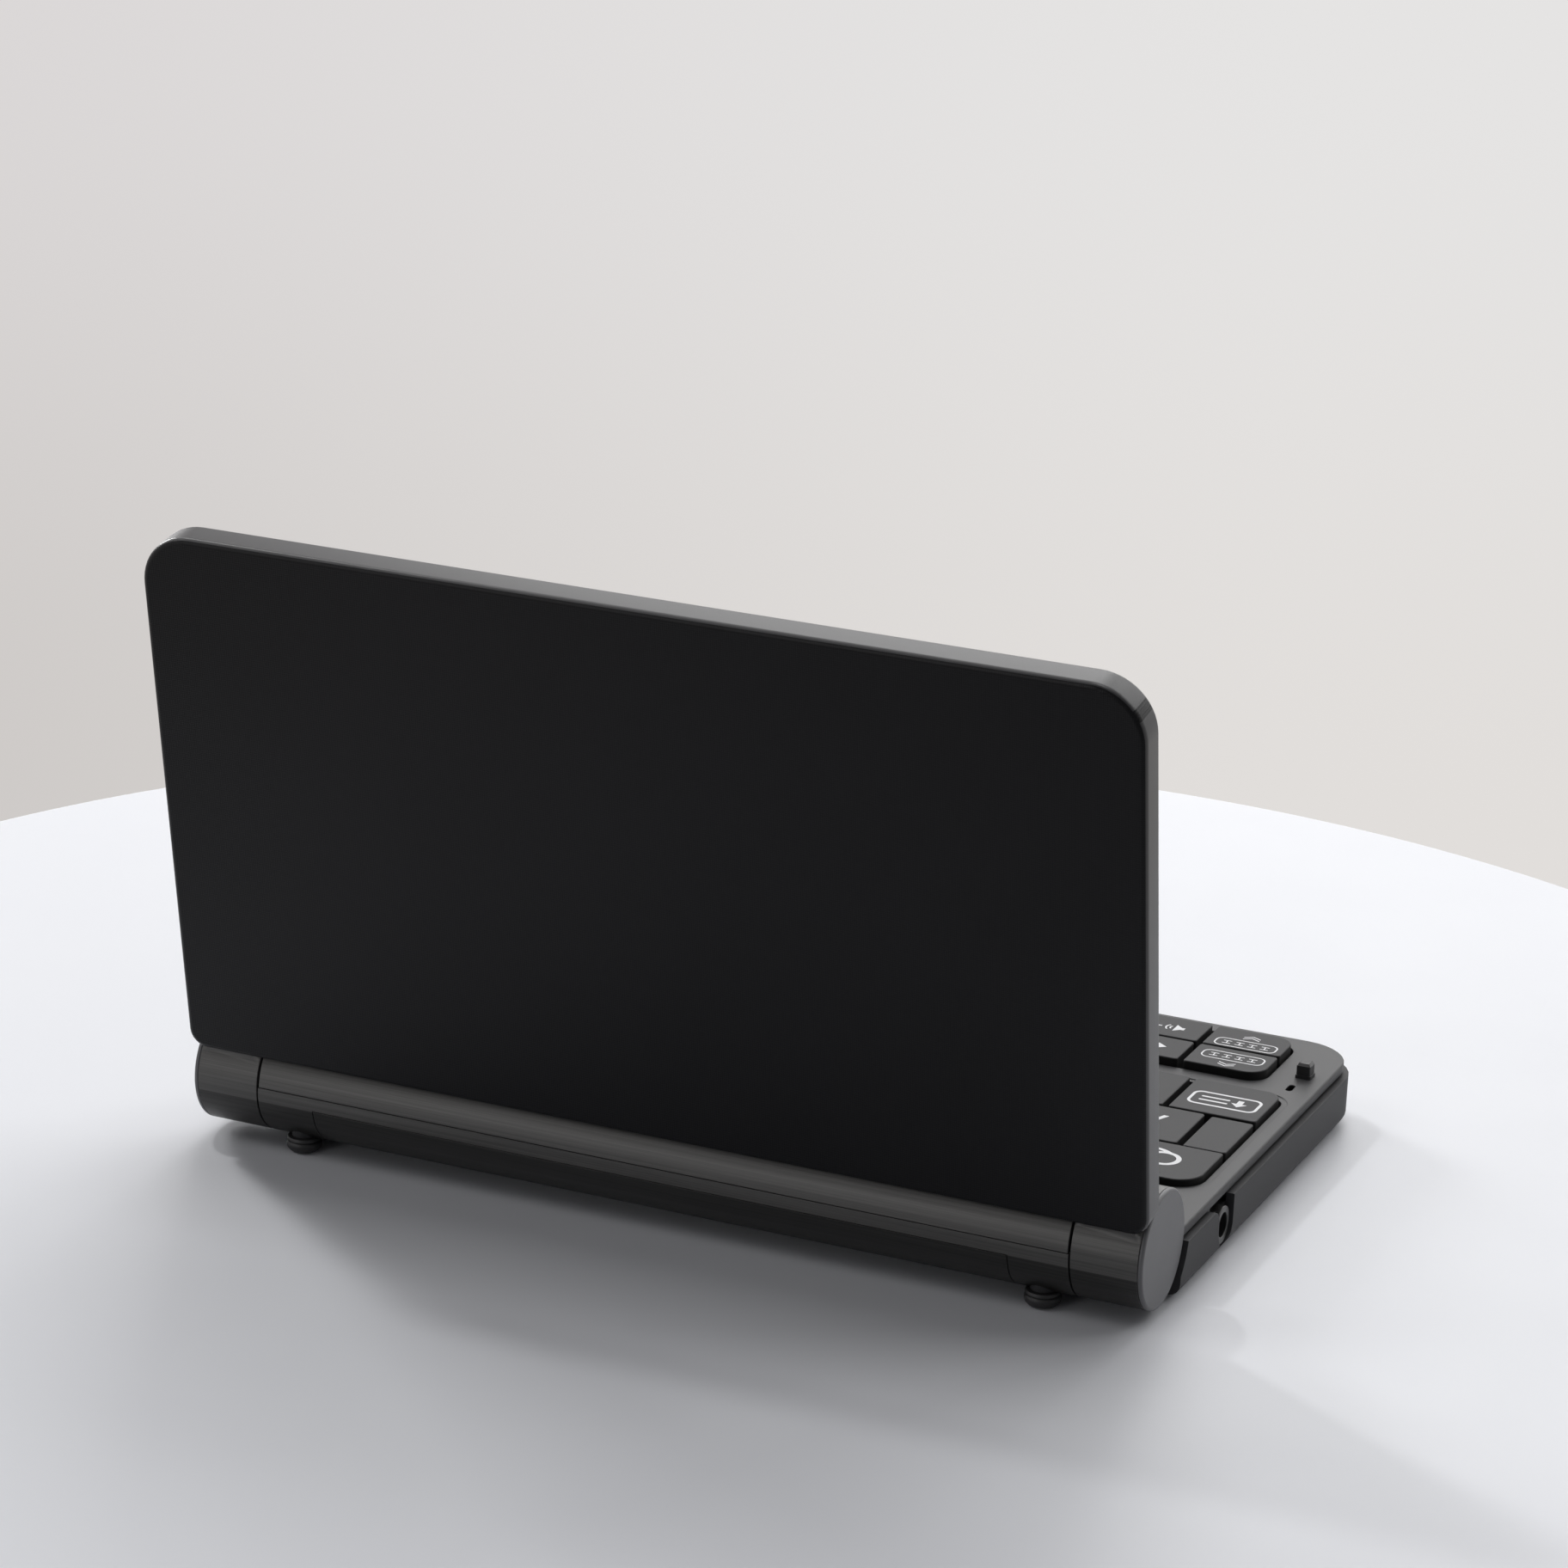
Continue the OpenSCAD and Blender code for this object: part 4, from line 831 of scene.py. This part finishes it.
# ---- Headphone socket ----
# A 3.5 mm stereo socket: a glossy black body soldered to the board, whose ring shows in the
# notch of the case wall, with its spring contacts deep inside.
def socket_black(place):
    grain = place.noise(7, 2)
    return {"Base Color": grain.blend(tint(0.014), tint(0.020)),
            "Roughness": 0.28 + 0.1 * grain, "Normal": (0.006 * grain).bump()}


socket_body = softened("headphone_jack", "socket_body", "base", edge=0.15, steps=3)
socket_body.data.materials.append(finish("socket_black", socket_black))


# ---- Speaker ----
# An oval speaker lies over the slots of the case floor: a woven black diaphragm glued into a
# frame of black plastic.
def speaker_black(place):
    weave = place.noise(4, 3)
    return {"Base Color": weave.blend(tint(0.02), tint(0.045)), "Roughness": 0.6 + 0.15 * weave,
            "Normal": (0.03 * weave).bump()}


dressed("speaker", finish("speaker_black", speaker_black))


# ---- Battery cells and contacts ----
# Two round cells lie end to end in the barrel, in a printed film wrap with bare metal ends,
# between nickel-plated plates with a spring at one end.
def cell_film(place):
    x, y, z = place.parts()
    cell_length = 50.5
    along = x.math("FRACT", x / cell_length + 2)
    band = (along > 0.66) - (along > 0.965)
    return {"Base Color": band.blend(tint(0.10, 0.10, 0.11), tint(0.42, 0.16, 0.03)),
            "Metallic": 0.5 + 0.4 * band, "Roughness": 0.28 + 0.1 * place.noise(0.5),
            "Normal": (0.01 * place.stretched(0.05, 1, 1).noise(1.0)).bump()}


def nickel(place):
    x, y, z = place.parts()
    coil = x.math("SINE", x * 5.2)
    return {"Base Color": place.noise(0.6).blend(tint(0.60, 0.59, 0.56), tint(0.70, 0.69, 0.66)),
            "Metallic": 1.0, "Roughness": 0.28 + 0.12 * place.noise(3), "Normal": (0.15 * coil).bump()}


dressed("battery_cells", finish("cell_film", cell_film))
dressed("battery_contacts", finish("nickel", nickel))


# ---- Hinge sleeves and pins ----
# Brass friction sleeves are pressed into the barrel's ends. They carry the turned steel pins
# that the knuckles hold.
def turned_metal(low, high):
    def recipe(place):
        groove = place.stretched(3.0, 0.05, 0.05).noise(1.0, 3)
        return {"Base Color": groove.blend(low, high), "Metallic": 1.0,
                "Roughness": 0.25 + 0.15 * groove, "Normal": (0.008 * groove).bump()}
    return recipe


brass = finish("turned_brass", turned_metal(tint(0.55, 0.38, 0.13), tint(0.66, 0.48, 0.19)))
dressed("hinge_sleeves", brass)
steel = finish("turned_steel", turned_metal(tint(0.36, 0.36, 0.37), tint(0.46, 0.46, 0.47)))
dressed("hinge_pins", steel)


# ---- Screws ----
# Cross-head screws in black-nickelled steel. Six go through the case floor into the deck, and
# four hold the bezel and the knuckles' tongues in the lid.
def black_nickel(place):
    swirl = place.noise(8, 3)
    return {"Base Color": swirl.blend(tint(0.16, 0.16, 0.17), tint(0.22, 0.22, 0.23)), "Metallic": 1.0,
            "Roughness": 0.3 + 0.12 * swirl, "Normal": (0.01 * swirl).bump()}


screw_finish = finish("black_nickel", black_nickel)
for node, name, body, slot in (("case_screws", "base_screws", "base", "screw_steel"),
                               ("lid_screws", "bezel_screws", "lid", "screw_steel")):
    screws = softened(node, name, body, edge=0.08)
    screws.data.materials.append(screw_finish)


# ---- Rubber feet ----
# Two round feet are pressed under the barrel at the back, each with a groove under its flange
# and a domed tread. Two long pads are glued into pockets at the front.
def foot_rubber(place):
    grain = place.noise(6, 3)
    return {"Base Color": grain.blend(tint(0.020, 0.020, 0.021), tint(0.032, 0.032, 0.033)),
            "Roughness": 0.42 + 0.15 * grain, "Normal": (0.012 * grain).bump()}


rubber = finish("foot_rubber", foot_rubber)
foot_seat, table_level, foot_radius, foot_x, foot_y = -7.58, -9.98, 2.6, 57.7, 3.7
pad_x, pad_half, pad_front, pad_back, pad_seat = 52, 7, -81.6, -76.6, -9.03
profile = [(0, 0.5), (0.08, 0.22), (0.3, 0.1), (0.5, 0.1), (0.56, 0.32), (0.66, 0.32),
           (0.74, 0.14), (0.95, 0.03), (1.2, 0), (1.5, 0.03), (1.8, 0.16), (2.05, 0.36),
           (2.25, 0.64), (2.35, 0.9)]
feet = []
foot = turned("foot", [(foot_seat + 0.9, 0), (foot_seat + 0.9, 1.2), (foot_seat, 1.2)]
              + [(foot_seat - down, foot_radius - in_by) for down, in_by in profile]
              + [(table_level, foot_radius - 1.3), (table_level, 0)], "Z", 48)
for side in (-1, 1):
    twin = bpy.data.objects.new("foot_twin", foot.data.copy())
    bpy.context.scene.collection.objects.link(twin)
    twin.data.transform(Matrix.Translation((side * foot_x, foot_y, 0)))
    feet.append(twin)
    pad = block("pad", (side * pad_x - pad_half, pad_front, table_level),
                (side * pad_x + pad_half, pad_back, pad_seat))
    rounded_corners(pad, 2.45, lambda at: True, 8)
    rounded_rim(pad, 0.2, -1, 3)
    feet.append(pad)
bpy.data.objects.remove(foot)
rubber_feet = joined(*feet)
rubber_feet.name = "round_feet_and_pads"
smooth(rubber_feet, 40)
rubber_feet.data.materials.clear()
rubber_feet.data.materials.append(rubber)
placed(rubber_feet, "base", "rubber_feet")


# ---- Lid bumpers ----
# Two small rubber pegs in the deck's front corners stop the lid when it closes. Each is a
# square peg on a flared foot, with a stem through the deck.
bumper_x, bumper_y, deck_top, peg_half, peg_deep = 69.6, -72.7, -0.08, 1.25, 1.3
bumpers = []
for side in (-1, 1):
    peg = block("peg", (side * bumper_x - peg_half, bumper_y - peg_deep, deck_top),
                (side * bumper_x + peg_half, bumper_y + peg_deep, deck_top + 0.5))
    rounded_corners(peg, 0.4, lambda at: True, 3)
    pick(peg, "FACE", lambda face: face.normal.z > 0.9)
    bpy.ops.mesh.inset(thickness=0.16)
    bpy.ops.mesh.extrude_region_move(TRANSFORM_OT_translate={"value": (0, 0, 1.8)})
    done()
    rounded_rim(peg, 0.35, 1, 1)
    bumpers.append(peg)
lid_pegs = joined(*bumpers)
lid_pegs.name = "lid_pegs"
smooth(lid_pegs, 25)
lid_pegs.data.materials.append(rubber)
placed(lid_pegs, "base", "lid_bumpers")
